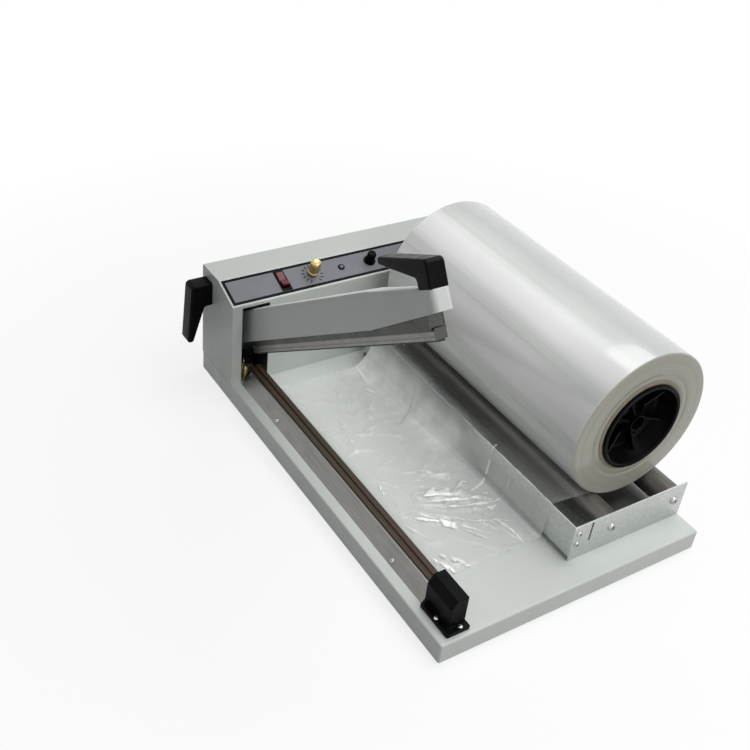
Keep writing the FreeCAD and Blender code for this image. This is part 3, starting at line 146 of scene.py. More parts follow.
def rawNode(tree, kind, inputs=None, **settings):
    made = tree.nodes.new(kind)
    for key, value in settings.items():
        setattr(made, key, value)
    for key, value in (inputs or {}).items():
        if isinstance(value, Wire):
            tree.links.new(value.socket, made.inputs[key])
        else:
            made.inputs[key].default_value = value
    return made


def addNode(tree, kind, inputs=None, out=0, **settings):
    return Wire(rawNode(tree, kind, inputs, **settings).outputs[out])


def combine(tree, x=0.0, y=0.0, z=0.0):
    return addNode(tree, "ShaderNodeCombineXYZ", {0: x, 1: y, 2: z})


def grain(where, scale, detail=3.0, stretch=(1, 1, 1), rough=0.5):
    spread = addNode(where.tree, "ShaderNodeMapping", {"Vector": where, "Scale": stretch})
    return addNode(where.tree, "ShaderNodeTexNoise", {
        "Vector": spread, "Scale": scale, "Detail": detail, "Roughness": rough}, "Fac")


def layered(colour, *coats):
    # lays each (share, colour) over what is there
    for share, over in coats:
        ends = [value if isinstance(value, Wire) else (*value, 1.0) for value in (colour, over)]
        colour = addNode(share.tree, "ShaderNodeMix", {0: share, 6: ends[0], 7: ends[1]}, 2, data_type="RGBA")
    return colour


def edgeShare(tree, radius):
    # 1 along an edge, 0 on the flat
    rounded = addNode(tree, "ShaderNodeBevel", {"Radius": radius}, samples=4)
    plain = addNode(tree, "ShaderNodeNewGeometry", out="Normal")
    likeness = addNode(tree, "ShaderNodeVectorMath", {0: rounded, 1: plain}, "Value", operation="DOT_PRODUCT")
    return likeness.fit(0.995, 0.86)


def softBand(value, low, high, soft):
    # 1 between low and high, fading out over soft
    return value.fit(low - soft, low) * value.fit(high, high + soft, 1.0, 0.0)


def startFinish(name, colour, roughness, specular=0.5, metallic=0.0, **more):
    finish = bpy.data.materials.new(name)
    finish.use_nodes = True
    shader = finish.node_tree.nodes["Principled BSDF"]
    constants = {"Base Color": (*colour, 1.0), "Roughness": roughness, "Metallic": metallic,
                 "Specular IOR Level": specular, **more}
    for key, value in constants.items():
        shader.inputs[key].default_value = value
    return finish, shader, addNode(finish.node_tree, "ShaderNodeTexCoord", out="Object")


def endFinish(finish, shader, colour, roughness, height, distance, strength=1.0):
    tree = finish.node_tree
    bump = addNode(tree, "ShaderNodeBump", {"Height": height, "Distance": distance, "Strength": strength})
    for key, wire in (("Base Color", colour), ("Roughness", roughness), ("Normal", bump)):
        if wire is not None:
            tree.links.new(wire.socket, shader.inputs[key])
    return finish


# Finishes; a pair or more of colours goes from clean to dull

# powder coat on the folded sheets, with its orange peel per metre
coat = {"white": ((0.63, 0.665, 0.64), (0.53, 0.56, 0.54)), "grey": ((0.60, 0.62, 0.61), (0.50, 0.52, 0.51)),
        "box": ((0.565, 0.597, 0.575), (0.475, 0.503, 0.485)), "worn": (0.34, 0.35, 0.345),
        "roughness": 0.42, "peel": 1400.0}
# painted shade on the base between the rollers, under the roll, in mm from the base's corner
underRollShade = {"left": 132, "right": 524, "front": 268, "back": 345, "colour": (0.055, 0.052, 0.047)}


def coatFinish(name, kind, dusty=False):
    bright, dull = coat[kind]
    finish, shader, where = startFinish(name, bright, coat["roughness"], 0.4)
    cloud = grain(where, 9.0, 4.0)
    smudge = grain(where, 38.0, 5.0, (1, 1, 0.6))
    rub = edgeShare(where.tree, 0.0011) * smudge.fit(0.40, 0.68, 0.1, 0.8)
    specks = grain(where, 320.0, 1.0).fit(0.80, 0.84, 0.0, 0.35)
    colour = layered(bright, (cloud.fit(0.42, 0.80, 0.0, 0.35), dull), (rub * 0.45, coat["worn"]),
                     (specks, coat["worn"]))
    if dusty:
        # painted shade: the base is darkened between the rollers, under the roll
        x, y, z = where.split()
        shadePatch = softBand(x, corner.x + underRollShade["left"] * mm, corner.x + underRollShade["right"] * mm, 0.006)
        shadePatch = shadePatch * softBand(y, corner.y + underRollShade["front"] * mm, corner.y + underRollShade["back"] * mm, 0.012)
        colour = layered(colour, (shadePatch * smudge.fit(0.3, 0.7, 0.82, 0.96), underRollShade["colour"]))
    roughness = smudge.fit(0.3, 0.8, coat["roughness"] - 0.07, coat["roughness"] + 0.12)
    return endFinish(finish, shader, colour, roughness, grain(where, coat["peel"], 2.0), 0.00006, 0.5)


# brushed and plated metals: clean, dull, roughness
metal = {
    "steel": ((0.27, 0.268, 0.255), (0.17, 0.168, 0.158), 0.36),
    "dark": ((0.21, 0.203, 0.188), (0.12, 0.115, 0.104), 0.47),
    "plate": ((0.62, 0.64, 0.625), (0.50, 0.52, 0.51), 0.40),
    "chrome": ((0.66, 0.66, 0.66), (0.34, 0.34, 0.34), 0.16),
    "brass": ((0.68, 0.53, 0.25), (0.46, 0.34, 0.14), 0.27),
    "aluminium": ((0.25, 0.247, 0.235), (0.16, 0.157, 0.147), 0.46),
    "carrier": ((0.085, 0.085, 0.083), (0.050, 0.050, 0.048), 0.46),
    "wire": ((0.022, 0.019, 0.016), (0.010, 0.009, 0.008), 0.52),
    "copper": ((0.72, 0.36, 0.18), (0.50, 0.22, 0.10), 0.30),
    "laminated": ((0.28, 0.28, 0.29), (0.18, 0.18, 0.19), 0.45),
}


def metalFinish(name, kind, stretch=(3, 260, 260), edge=0.0006, paintedEdgeHighlight=1.22):
    # the streaks run along the axis that is stretched least
    bright, dull, roughness = metal[kind]
    finish, shader, where = startFinish(name, bright, roughness, metallic=1.0)
    streak = grain(where, 6.0, 6.0, stretch, 0.65)
    stain = grain(where, 26.0, 4.0)
    # painted highlight: the edges are painted lighter than the face
    edgeHighlightColour = tuple(min(1.0, share * paintedEdgeHighlight) for share in bright)
    colour = layered(bright, (streak.fit(0.36, 0.66), dull), (stain.fit(0.52, 0.78, 0.0, 0.4), dull),
                     (edgeShare(where.tree, edge) * 0.6, edgeHighlightColour))
    rough = (streak + stain).fit(0.7, 1.3, roughness - 0.08, roughness + 0.14)
    return endFinish(finish, shader, colour, rough, streak, 0.00004, 0.6)


# moulded plastics and rubber: clean, rubbed, roughness, texture per metre
plastic = {
    "black": ((0.0030, 0.0031, 0.0036), (0.011, 0.011, 0.012), 0.32, 900.0),
    "rubber": ((0.016, 0.016, 0.016), (0.045, 0.043, 0.040), 0.62, 500.0),
    "red": ((0.12, 0.006, 0.012), (0.08, 0.005, 0.008), 0.22, 300.0),
    "lens": ((0.045, 0.05, 0.05), (0.12, 0.125, 0.12), 0.14, 200.0),
    "silicone": ((0.030, 0.028, 0.027), (0.075, 0.070, 0.065), 0.55, 420.0),
    "board": ((0.02, 0.16, 0.07), (0.03, 0.22, 0.10), 0.35, 200.0),
    "component": ((0.05, 0.05, 0.055), (0.09, 0.09, 0.095), 0.40, 300.0),
}


def plasticFinish(name, kind, shine=0.05, texture=0.00003):
    clean, rubbed, roughness, pitch = plastic[kind]
    finish, shader, where = startFinish(name, clean, roughness, shine)
    scuff = grain(where, 24.0, 6.0, (1, 5, 1)).fit(0.56, 0.70)
    share = (edgeShare(where.tree, 0.0009) * 0.75).reckon("MAXIMUM", scuff * 0.22)
    rough = grain(where, 60.0, 5.0).fit(0.3, 0.75, roughness - 0.08, roughness + 0.16)
    return endFinish(finish, shader, layered(clean, (share, rubbed)), rough, grain(where, pitch, 2.0),
                     texture, 0.6)


tape = {"brown": (0.052, 0.040, 0.020), "burnt": (0.008, 0.006, 0.005), "red": (0.066, 0.038, 0.027)}
sealY = middleOf("ptfe_strip").y


def tapeFinish(name):
    # woven tape, scorched along the hot wire and dark where it turns down at its sides
    finish, shader, where = startFinish(name, tape["brown"], 0.38, 0.2)
    across = abs(where.split()[1] - sealY)
    weave = addNode(where.tree, "ShaderNodeTexWave", {"Vector": where, "Scale": 420.0, "Distortion": 0.4},
                    "Fac", bands_direction="X")
    blotch = grain(where, 18.0, 5.0, (0.5, 2.2, 1))
    burn = across.fit(0.0004, 0.0019, 1.0, 0.0) * blotch.fit(0.2, 0.6, 0.75, 1.0)
    colour = layered(tape["brown"], (blotch.fit(0.40, 0.70), tape["red"]), (burn, tape["burnt"]),
                     (across.fit(0.0058, 0.0078, 0.0, 0.7), tape["burnt"]))
    return endFinish(finish, shader, colour, blotch.fit(0.3, 0.75, 0.26, 0.50), weave, 0.00004, 0.5)


# the wound film; the painted shade and painted highlight bands are from, to and fade, in radians from its top
# towards the front
milky = {"film": (0.755, 0.77, 0.755), "grey": (0.50, 0.515, 0.505), "light": (0.92, 0.93, 0.92),
         "end": (0.42, 0.415, 0.35), "endDark": (0.29, 0.285, 0.225), "endLight": (0.56, 0.555, 0.48),
         "dull": (-1.5, 0.0, 0.36), "upper": (0.42, 0.68, 0.14), "lower": (1.06, 1.5, 0.12),
         "layers": 1250.0, "rings": 160.0, "crept": 0.11}
rollCentre = middleOf("film_core")
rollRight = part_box("film_roll")[1].x


def rollFinish(name):
    # along the roll: soft tension lines; on the end: the wound layers as fine rings
    finish, shader, where = startFinish(name, milky["film"], 0.26, **{
        "Subsurface Weight": 0.25, "Subsurface Radius": (0.02, 0.02, 0.02), "Subsurface Scale": 0.4,
        "Coat Weight": 0.6, "Coat Roughness": 0.10})
    tree = finish.node_tree
    film, grey, light, end, endDark, endLight = (milky[key] for key in (
        "film", "grey", "light", "end", "endDark", "endLight"))
    x, y, z = where.split()
    y, z = y - rollCentre.y, z - rollCentre.z
    radius = (y * y + z * z).reckon("SQRT")
    around = (y * -1.0).reckon("ARCTAN2", z)
    onEnd = abs(addNode(tree, "ShaderNodeNewGeometry", out="True Normal").split()[0]).fit(0.35, 0.8)
    wrap = combine(tree, x * 1.1, around)
    broad = grain(wrap, 3.2, 3.0, (1, 1.6, 1))
    thin = grain(wrap, 26.0, 2.0, (0.10, 1, 1))
    # painted shade towards the back, with two painted highlights as lighter bands on the front
    dull = softBand(around + grain(where, 9.0, 2.0).fit(0.3, 0.7, -0.03, 0.03), *milky["dull"])
    paintedHighlightBands = softBand(around, *milky["upper"]).reckon("MAXIMUM", softBand(around, *milky["lower"]))
    # painted shade over the free end, which is a little duller
    crept = x.fit(rollRight - milky["crept"], rollRight, 0.0, 0.45)
    side = layered(film, (broad.fit(0.42, 0.72, 0.0, 0.35), grey), (thin.fit(0.52, 0.78, 0.0, 0.22), grey),
                   (thin.fit(0.48, 0.26, 0.0, 0.40), light), (dull, grey), (paintedHighlightBands * 0.9, light),
                   (crept, grey))
    layers, rings = (
        addNode(tree, "ShaderNodeTexNoise", {"W": radius * pitch, "Scale": 1.0, "Detail": detail}, "Fac",
                noise_dimensions="1D") for pitch, detail in ((milky["layers"], 4.0), (milky["rings"], 2.0)))
    face = layered(end, (layers.fit(0.35, 0.7, 0.0, 0.4), endDark),
                   (rings.fit(0.48, 0.75, 0.0, 0.35), endDark), (radius.fit(0.060, 0.078, 0.45, 0.0), endDark),
                   # painted light on the lower half of the end, painted shade on its upper half
                   (z.fit(-0.01, -0.09, 0.0, 0.5), endLight),
                   (z.fit(0.01, 0.09, 0.0, 0.45), endDark))
    return endFinish(finish, shader, layered(side, (onEnd, face)), onEnd.fit(0.0, 1.0, 0.26, 0.5),
                     layers * onEnd + thin * 1.2, 0.00016, 0.4)


def paperFinish(name):
    finish, shader, where = startFinish(name, (0.33, 0.28, 0.20), 0.8)
    fibre = grain(where, 90.0, 6.0)
    colour = layered((0.40, 0.35, 0.26), (fibre, (0.22, 0.18, 0.13)))
    return endFinish(finish, shader, colour, None, fibre, 0.0003, 0.6)


filmLook = {"clear": (0.93, 0.945, 0.93), "shaded": (0.46, 0.48, 0.465), "flake": (0.97, 0.98, 0.965),
            "fan": 0.32, "least": 0.05, "most": 0.96}


def filmFinish(name):
    # clear where it lies smooth, hazy where it is creased or double, white as a painted highlight where a fold
    # would catch the light, and darker where the shade attribute paints shade
    finish, shader, where = startFinish(name, filmLook["clear"], 0.14, 0.8)
    tree = finish.node_tree
    crease, haze, flake, shade = (addNode(tree, "ShaderNodeAttribute", out="Fac", attribute_name=label)
                                  for label in ("crease", "haze", "flake", "shade"))
    turned = addNode(tree, "ShaderNodeMapping", {"Vector": where, "Rotation": (0, 0, filmLook["fan"]),
                                                 "Scale": (1, 0.28, 1)})
    fine = grain(where, 90.0, 5.0, (1, 1.4, 1), 0.6)
    fibre = grain(turned, 62.0, 4.0, rough=0.6)
    body = haze * grain(turned, 16.0).fit(0.3, 0.72, 0.62, 1.38)
    crisp = crease * fibre.fit(0.46, 0.64)
    glintCover = (flake + fine.fit(0.3, 0.7, -0.22, 0.22)).fit(0.42, 0.60)
    cover = (body + filmLook["least"] + crisp * 0.55).reckon("MAXIMUM", glintCover * 0.95)
    tree.links.new(cover.reckon("MINIMUM", filmLook["most"]).socket, shader.inputs["Alpha"])
    colour = layered(filmLook["clear"], (shade, filmLook["shaded"]), (glintCover, filmLook["flake"]))
    return endFinish(finish, shader, colour, fine.fit(0.3, 0.7, 0.09, 0.24), fibre + fine * 0.4, 0.0012, 0.45)


def glassFinish(name):
    finish, shader, where = startFinish(name, (0.9, 0.92, 0.9), 0.06, Alpha=0.35)
    return endFinish(finish, shader, None, None, grain(where, 120.0), 0.00004)


# the printed sheet: colours, and the border's width, inset and corner radius in mm
labelLook = {"field": (0.236, 0.245, 0.268), "fieldDark": (0.200, 0.208, 0.228),
             "line": (0.003, 0.003, 0.004), "lineWidth": 4.2, "lineInset": -0.2, "round": 1.0}


def labelFinish(name, width, length):
    # the sheet's UV map is in metres from its middle, so the border keeps its width
    finish, shader, where = startFinish(name, labelLook["field"], 0.42, 0.06)
    cornerRound = labelLook["round"] * mm
    x, y, z = addNode(finish.node_tree, "ShaderNodeUVMap", uv_map="sheet").split()
    x, y = abs(x) - (width / 2 - cornerRound), abs(y) - (length / 2 - cornerRound)
    pastX, pastY = x.reckon("MAXIMUM", 0.0), y.reckon("MAXIMUM", 0.0)
    beyond = (pastX * pastX + pastY * pastY).reckon("SQRT")
    depth = beyond + x.reckon("MAXIMUM", y).reckon("MINIMUM", 0.0) - cornerRound
    inner = -(labelLook["lineInset"] + labelLook["lineWidth"]) * mm
    border = (depth > inner) * (depth < -labelLook["lineInset"] * mm)
    tint = grain(where, 45.0, 5.0)
    colour = layered(labelLook["field"], (tint, labelLook["fieldDark"]), (border, labelLook["line"]))
    return endFinish(finish, shader, colour, tint.fit(0.3, 0.7, 0.36, 0.48), grain(where, 800.0),
                     0.00003, 0.4)


finishes = {
    "white_coat": coatFinish("whiteCoat", "white"),
    "grey_coat": coatFinish("greyCoat", "grey"),
    "label_grey": plasticFinish("labelPlain", "component"),
    "black_plastic": plasticFinish("blackPlastic", "black"),
    "black_rubber": plasticFinish("blackRubber", "rubber", 0.2, 0.0001),
    "red_plastic": plasticFinish("redRocker", "red", 0.3, 0.00001),
    "lens_grey": plasticFinish("lampLens", "lens", 0.6, 0.00001),
    "steel": metalFinish("brushedSteel", "steel"),
    "dark_steel": metalFinish("rollerSteel", "dark", (2.2, 190, 190)),
    "chrome": metalFinish("platedScrew", "chrome", (60, 60, 60), 0.0003),
    "brass": metalFinish("brass", "brass", (90, 90, 90), 0.0004),
    "aluminium": metalFinish("aluminiumBar", "aluminium"),
    "copper_coil": metalFinish("copperWinding", "copper", (260, 260, 8)),
    "board_green": plasticFinish("circuitBoard", "board"),
    "glass_tube": glassFinish("fuseGlass"),
    "ptfe_brown": tapeFinish("ptfeTape"),
    "silicone_black": plasticFinish("siliconeStrip", "silicone", 0.25, 0.0001),
    "paper_core": paperFinish("paperCore"),
    "film_milky": rollFinish("woundFilm"),
    "film_clear": filmFinish("drawnFilm"),
    "steel_lamination": metalFinish("laminations", "laminated", (8, 8, 900)),
}
# nodes whose finish differs a little from the rest of their slot
ownFinishes = {
    "base_pan": coatFinish("baseCoat", "white", dusty=True),
    "control_box_shell": coatFinish("boxCoat", "box"),
    "bar_carrier": metalFinish("carrierSteel", "carrier"),
    "heating_wire": metalFinish("heaterWire", "wire"),
}
# the plates' edges get a strong painted highlight along them
cradleSteel = metalFinish("cradleSteel", "plate", (30, 30, 90), 0.0007, 2.1)
for side in ("left", "right", "front"):
    ownFinishes[f"cradle_{side}_plate"] = cradleSteel
print("finishes made")

slotOf = {}
for name, node in nodes.items():
    for place in node.material_slots:
        slotOf[name] = place.material.name.split(".")[0]
        place.material = ownFinishes.get(name, finishes[slotOf[name]])


# Mesh helpers


def addPiece(name, mesh, nodeName, finish=None, replaced=None):
    piece = bpy.data.objects.new(name, mesh)
    scene.collection.objects.link(piece)
    mesh.materials.clear()
    mesh.materials.append(finish or nodes[nodeName].material_slots[0].material)
    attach(piece, nodes[nodeName]["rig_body"])
    for stoodFor in ([nodeName] if replaced is None else replaced):
        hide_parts(stoodFor)
    return piece


def pieceName(nodeName, ending):
    words = nodeName.split("_")
    return words[0] + "".join(word.capitalize() for word in words[1:]) + ending


def mergedCopy(nodeName, gap=1e-5):
    shell = bmesh.new()
    shell.from_mesh(nodes[nodeName].data)
    bmesh.ops.remove_doubles(shell, verts=shell.verts, dist=gap)
    return shell


def smoothByAngle(mesh, angle):
    mesh.polygons.foreach_set("use_smooth", [True] * len(mesh.polygons))
    mesh.set_sharp_from_angle(angle=math.radians(angle))


def toMesh(shell, name, smoothAngle=None):
    mesh = bpy.data.meshes.new(name)
    shell.to_mesh(mesh)
    shell.free()
    if smoothAngle:
        smoothByAngle(mesh, smoothAngle)
    return mesh


def joined(name, meshes, smoothAngle=None):
    shell = bmesh.new()
    for mesh in meshes:
        shell.from_mesh(mesh)
    return toMesh(shell, name, smoothAngle)


def bridge(shell, near, far):
    # a solid between two rings with as many points each
    rows = [[shell.verts.new(spot) for spot in ring] for ring in (near, far)]
    shell.faces.new(rows[0])
    shell.faces.new(rows[1][::-1])
    for k in range(len(near)):
        n = (k + 1) % len(near)
        shell.faces.new((rows[0][k], rows[1][k], rows[1][n], rows[0][n]))


def bridgedMesh(name, near, far):
    shell = bmesh.new()
    bridge(shell, near, far)
    bmesh.ops.recalc_face_normals(shell, faces=shell.faces)
    return toMesh(shell, name, 30)


# pieces that keep the frame's form and get rounded edges: edge radius in mm
dressed = {
    "base_pan": 0.45, "control_box_shell": 0.35, "bottom_cover": 0.3, "switch_housing": 0.25,
    "switch_rocker": 0.3, "fuse_cap": 0.2, "fuse_holder": 0.3, "indicator_lamp": 0.2, "indicator_lens": 0.2,
    "seal_bar_base": 0.4, "ptfe_strip": 0.2, "terminal_posts": 0.2, "front_shield": 0.2, "shield_clips": 0.15,
    "end_block": 0.6, "side_handle": 1.3, "arm_handle": 1.1, "arm_channel": 0.4, "bar_carrier": 0.3,
    "press_bar": 0.35, "silicone_strip": 0.3, "cradle_right_plate": 0.3, "cradle_left_plate": 0.3,
    "cradle_front_plate": 0.25, "pivot_bracket": 0.3, "rubber_feet": 0.6, "cord_grommet": 0.4,
    "timer_potentiometer": 0.2,
}
bevelFrom = 38  # degrees; flatter edges stay as they are

for nodeName, radius in dressed.items():
    shell = mergedCopy(nodeName)
    bmesh.ops.dissolve_limit(shell, angle_limit=math.radians(0.4), verts=shell.verts, edges=shell.edges)
    name = pieceName(nodeName, "Skin")
    piece = addPiece(name, toMesh(shell, name, bevelFrom), nodeName)
    bevel = piece.modifiers.new("roundedEdges", "BEVEL")
    bevel.width = radius * mm
    bevel.segments = 2
    bevel.limit_method = "ANGLE"
    bevel.angle_limit = math.radians(bevelFrom)
    bevel.use_clamp_overlap = False
    bevel.harden_normals = True
print("dressed:", len(dressed))


# The arm's small end pieces; the arm stands open at rest, so they are drawn along it

rise = math.radians(34.4)
armAlong = Vector((math.cos(rise), 0, math.sin(rise)))
armUp = Vector((-math.sin(rise), 0, math.cos(rise)))


def armSpan(nodeName):
    # how far a node reaches along the arm, its lowest and highest line across it, and its middle
    points = [vertex.co for vertex in nodes[nodeName].data.vertices]
    heights = [point.dot(armUp) for point in points]
    return max(point.dot(armAlong) for point in points), min(heights), max(heights), middleOf(nodeName).y


def onArm(along, y, up):
    return armAlong * along + armUp * up + Vector((0, y, 0))


# a folded plate closes the open end of the bar's carrier, just inside its mouth; in mm
endPlate = {"half": 7.6, "thick": 1.4, "inset": 0.6, "floor": 1.65, "below": 1.0, "lip": 7.0, "bend": 1.6}


def carrierEnd():
    reach, low, high, middleY = armSpan("bar_carrier")
    half, thick, inset, rest, below, lip, bend = (size * mm for size in endPlate.values())
    end, floor, top = reach - inset, low + rest, high - below
    # side view, from the lip's end round the bend and up the plate
    outer = [(end - lip, floor), (end - bend, floor)]
    for step in range(1, 6):
        angle = math.pi / 2 * step / 6
        outer.append((end - bend + bend * math.sin(angle), floor + bend - bend * math.cos(angle)))
    outer += [(end, floor + bend), (end, top)]
    inner = [(end - lip, floor + thick), (end - bend, floor + thick),
             (end - thick, floor + bend + thick * 0.2), (end - thick, top)]
    return bridgedMesh("carrierEndPlate", *(
        [onArm(a, middleY + side * half, h) for a, h in outer + inner[::-1]] for side in (-1, 1)))


# a thin plate over the press bar's end, standing a little above the bar; in mm
barCap = {"half": 6.9, "thick": 0.8, "round": 1.6, "low": 0.3, "above": 2.6}


def pressBarCap():
    end, low, high, middleY = armSpan("press_bar")
    half, thick, bend, raised, above = (size * mm for size in barCap.values())
    low, high = low + raised, high + above
    outline = [(-half, low), (half, low)]
    for side in (1, -1):
        for step in range(5):
            angle = math.pi / 2 * (step if side > 0 else 4 - step) / 4
            outline.append((side * (half - bend + bend * math.cos(angle)),
                            high - bend + bend * math.sin(angle)))
    return bridgedMesh("pressBarCap", *(
        [onArm(end + depth, middleY + y, h) for y, h in outline] for depth in (0.0, thick)))


for mesh in (carrierEnd(), pressBarCap()):
    addPiece(mesh.name, mesh, "bar_carrier", replaced=[])

# the torsion spring winds up as the arm comes down; here it is a smoothed copy that stays where it is drawn
springMesh = toMesh(mergedCopy("return_spring"), "armSpring", 40)
springMesh.materials.append(nodes["return_spring"].material_slots[0].material)
armSpring = bpy.data.objects.new("armSpring", springMesh)
scene.collection.objects.link(armSpring)
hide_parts("return_spring")
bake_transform(armSpring)
print("arm's end and spring made")


# Geometry Nodes trees for turned pieces and screws


def startTree(name, sizes):
    # a node group with one named input for each size
    tree = bpy.data.node_groups.new(name, "GeometryNodeTree")
    tree.interface.new_socket("Geometry", in_out="INPUT", socket_type="NodeSocketGeometry")
    for label, value in sizes.items():
        kind = "NodeSocketInt" if isinstance(value, int) else "NodeSocketFloat"
        tree.interface.new_socket(label, in_out="INPUT", socket_type=kind).default_value = value
    tree.interface.new_socket("Finish", in_out="INPUT", socket_type="NodeSocketMaterial")
    tree.interface.new_socket("Geometry", in_out="OUTPUT", socket_type="NodeSocketGeometry")
    return tree, {socket.name: Wire(socket) for socket in tree.nodes.new("NodeGroupInput").outputs}


def endTree(tree, entry, geometry):
    real = addNode(tree, "GeometryNodeRealizeInstances", {0: geometry})
    painted = addNode(tree, "GeometryNodeSetMaterial", {"Geometry": real, "Material": entry["Finish"]})
    rawNode(tree, "NodeGroupOutput", {0: painted})
    return tree


def runTree(tree, mesh, sizes):
    # applies the tree to a mesh and hands back a plain mesh
    carrier = bpy.data.objects.new("carrier", mesh)
    scene.collection.objects.link(carrier)
    modifier = carrier.modifiers.new("build", "NODES")
    modifier.node_group = tree
    for item in tree.interface.items_tree:
        if item.item_type == "SOCKET" and item.in_out == "INPUT" and item.name in sizes:
            modifier[item.identifier] = sizes[item.name]
    graph = bpy.context.evaluated_depsgraph_get()
    made = bpy.data.meshes.new_from_object(carrier.evaluated_get(graph))
    carrier.modifiers.clear()
    bpy.data.objects.remove(carrier)
    return made


def turnedTree():
    # turns a row of points (x along the axis, y the radius) about the x axis, with optional flutes
    tree, entry = startTree("turnedPiece", {"Points": 8, "Steps": 64, "Flutes": 0, "Flute depth": 0.0,
                                            "Flute start": 0.0, "Flute end": 0.0})
    rows = entry["Steps"] + 1.0
    grid = addNode(tree, "GeometryNodeMeshGrid", {"Vertices X": entry["Points"], "Vertices Y": rows}, "Mesh")
    index = addNode(tree, "GeometryNodeInputIndex")
    row = ((index + 0.5) / rows).reckon("FLOOR")
    angle = (index - row * rows) / entry["Steps"] * math.tau
    spot = addNode(tree, "GeometryNodeInputPosition")
    profile = addNode(tree, "GeometryNodeSampleIndex",
                      {"Geometry": entry["Geometry"], "Value": spot, "Index": row}, "Value",
                      data_type="FLOAT_VECTOR", domain="POINT")
    along, radius, unused = profile.split()
    inside = (along > entry["Flute start"]) * (along < entry["Flute end"])
    wave = (angle * entry["Flutes"]).reckon("COSINE").reckon("MULTIPLY_ADD", 0.5, 0.5) ** 1.6
    radius = radius - wave * entry["Flute depth"] * inside
    spot = combine(tree, along, radius * angle.reckon("COSINE"), radius * angle.reckon("SINE"))
    moved = addNode(tree, "GeometryNodeSetPosition", {"Geometry": grid, "Position": spot})
    closed = addNode(tree, "GeometryNodeMergeByDistance", {"Geometry": moved, "Distance": 1e-6})
    return endTree(tree, entry, closed)


turned = turnedTree()


def turnedMesh(name, profile, seat, axis=alongX, steps=72, smoothAngle=32.0, flutes=0, depth=0.0, start=0.0,
               end=0.0):
    # profile: (along, radius) in mm; seat: where along = 0 lies; axis: direction of along
    row = bpy.data.meshes.new(name + "Profile")
    row.from_pydata([(a * mm, r * mm, 0) for a, r in profile],
                    [(i, i + 1) for i in range(len(profile) - 1)], [])
    mesh = runTree(turned, row, {"Points": len(profile), "Steps": steps, "Flutes": flutes,
                                 "Flute depth": depth * mm, "Flute start": start * mm, "Flute end": end * mm})
    shell = bmesh.new()
    shell.from_mesh(mesh)
    bmesh.ops.remove_doubles(shell, verts=shell.verts, dist=1e-6)
    bmesh.ops.recalc_face_normals(shell, faces=shell.faces)
    mesh = toMesh(shell, name)
    turn = alongX.rotation_difference(axis.normalized()).to_matrix().to_4x4()
    mesh.transform(Matrix.Translation(seat) @ turn)
    smoothByAngle(mesh, smoothAngle)
    return mesh


def screwTree():
    # points with a facing direction and a size carry pan heads with a cross recess, and their shanks
    tree, entry = startTree("crossScrews", {"Head ratio": 1.9, "Head height": 1.1, "Recess width": 0.42,
                                            "Recess reach": 1.15, "Recess depth": 0.75, "Shank length": 5.0,
                                            "Seed": 7})
    ball = addNode(tree, "GeometryNodeMeshUVSphere", {"Segments": 28, "Rings": 14, "Radius": 1.0})
    x, y, z = addNode(tree, "GeometryNodeInputPosition").split()
    flat = (x * x + y * y).reckon("SQRT")
    spread = flat ** 0.5 / flat.reckon("MAXIMUM", 0.001) * entry["Head ratio"]
    high = z.reckon("MAXIMUM", 0.0) ** 0.85 * entry["Head height"]
    head = addNode(tree, "GeometryNodeSetPosition", {
        "Geometry": ball, "Position": combine(tree, x * spread, y * spread, high)})
    recess = rawNode(tree, "GeometryNodeMeshBoolean", {"Mesh 1": head}, operation="DIFFERENCE")
    reach, wide, tall = entry["Recess reach"] * 2.0, entry["Recess width"], entry["Recess depth"] * 2.0
    lift = combine(tree, z=entry["Head height"])
    for sizeX, sizeY in ((reach, wide), (wide, reach)):
        bar = addNode(tree, "GeometryNodeMeshCube", {"Size": combine(tree, sizeX, sizeY, tall)})
        raised = addNode(tree, "GeometryNodeTransform", {"Geometry": bar, "Translation": lift})
        tree.links.new(raised.socket, recess.inputs["Mesh 2"])
    shank = addNode(tree, "GeometryNodeMeshCylinder", {
        "Vertices": 16, "Radius": 0.98, "Depth": entry["Shank length"]})
    sunk = addNode(tree, "GeometryNodeTransform", {
        "Geometry": shank, "Translation": combine(tree, z=entry["Shank length"] * -0.499)})
    screw = rawNode(tree, "GeometryNodeJoinGeometry")
    for part in (recess.outputs[0], sunk.socket):
        tree.links.new(part, screw.inputs[0])
    facing = addNode(tree, "GeometryNodeInputNamedAttribute", {"Name": "facing"}, data_type="FLOAT_VECTOR")
    size = addNode(tree, "GeometryNodeInputNamedAttribute", {"Name": "size"}, data_type="FLOAT")
    # each cross points its own way; inputs 2 and 3 are the least and most of a plain number
    spin = addNode(tree, "FunctionNodeRandomValue", {2: 0.0, 3: 3.14, "Seed": entry["Seed"]}, 1,
                   data_type="FLOAT")
    aim = addNode(tree, "FunctionNodeAlignRotationToVector", {"Vector": facing}, axis="Z")
    turn = addNode(tree, "FunctionNodeAxisAngleToRotation", {"Axis": (0, 0, 1), "Angle": spin})
    both = addNode(tree, "FunctionNodeRotateRotation", {"Rotation": aim, "Rotate By": turn},
                   rotation_space="LOCAL")
    return endTree(tree, entry, addNode(tree, "GeometryNodeInstanceOnPoints", {
        "Points": entry["Geometry"], "Instance": Wire(screw.outputs[0]), "Rotation": both, "Scale": size}))


def islands(shell):
    # groups of connected vertices
    left = set(shell.verts)
    found = []
    while left:
        stack = [left.pop()]
        group = [stack[0]]
        while stack:
            for edge in stack.pop().link_edges:
                for vertex in edge.verts:
                    if vertex in left:
                        left.remove(vertex)
                        group.append(vertex)
                        stack.append(vertex)
        found.append(group)
    return found


headRatio = 1.9  # a screw's head is this much wider than its shank


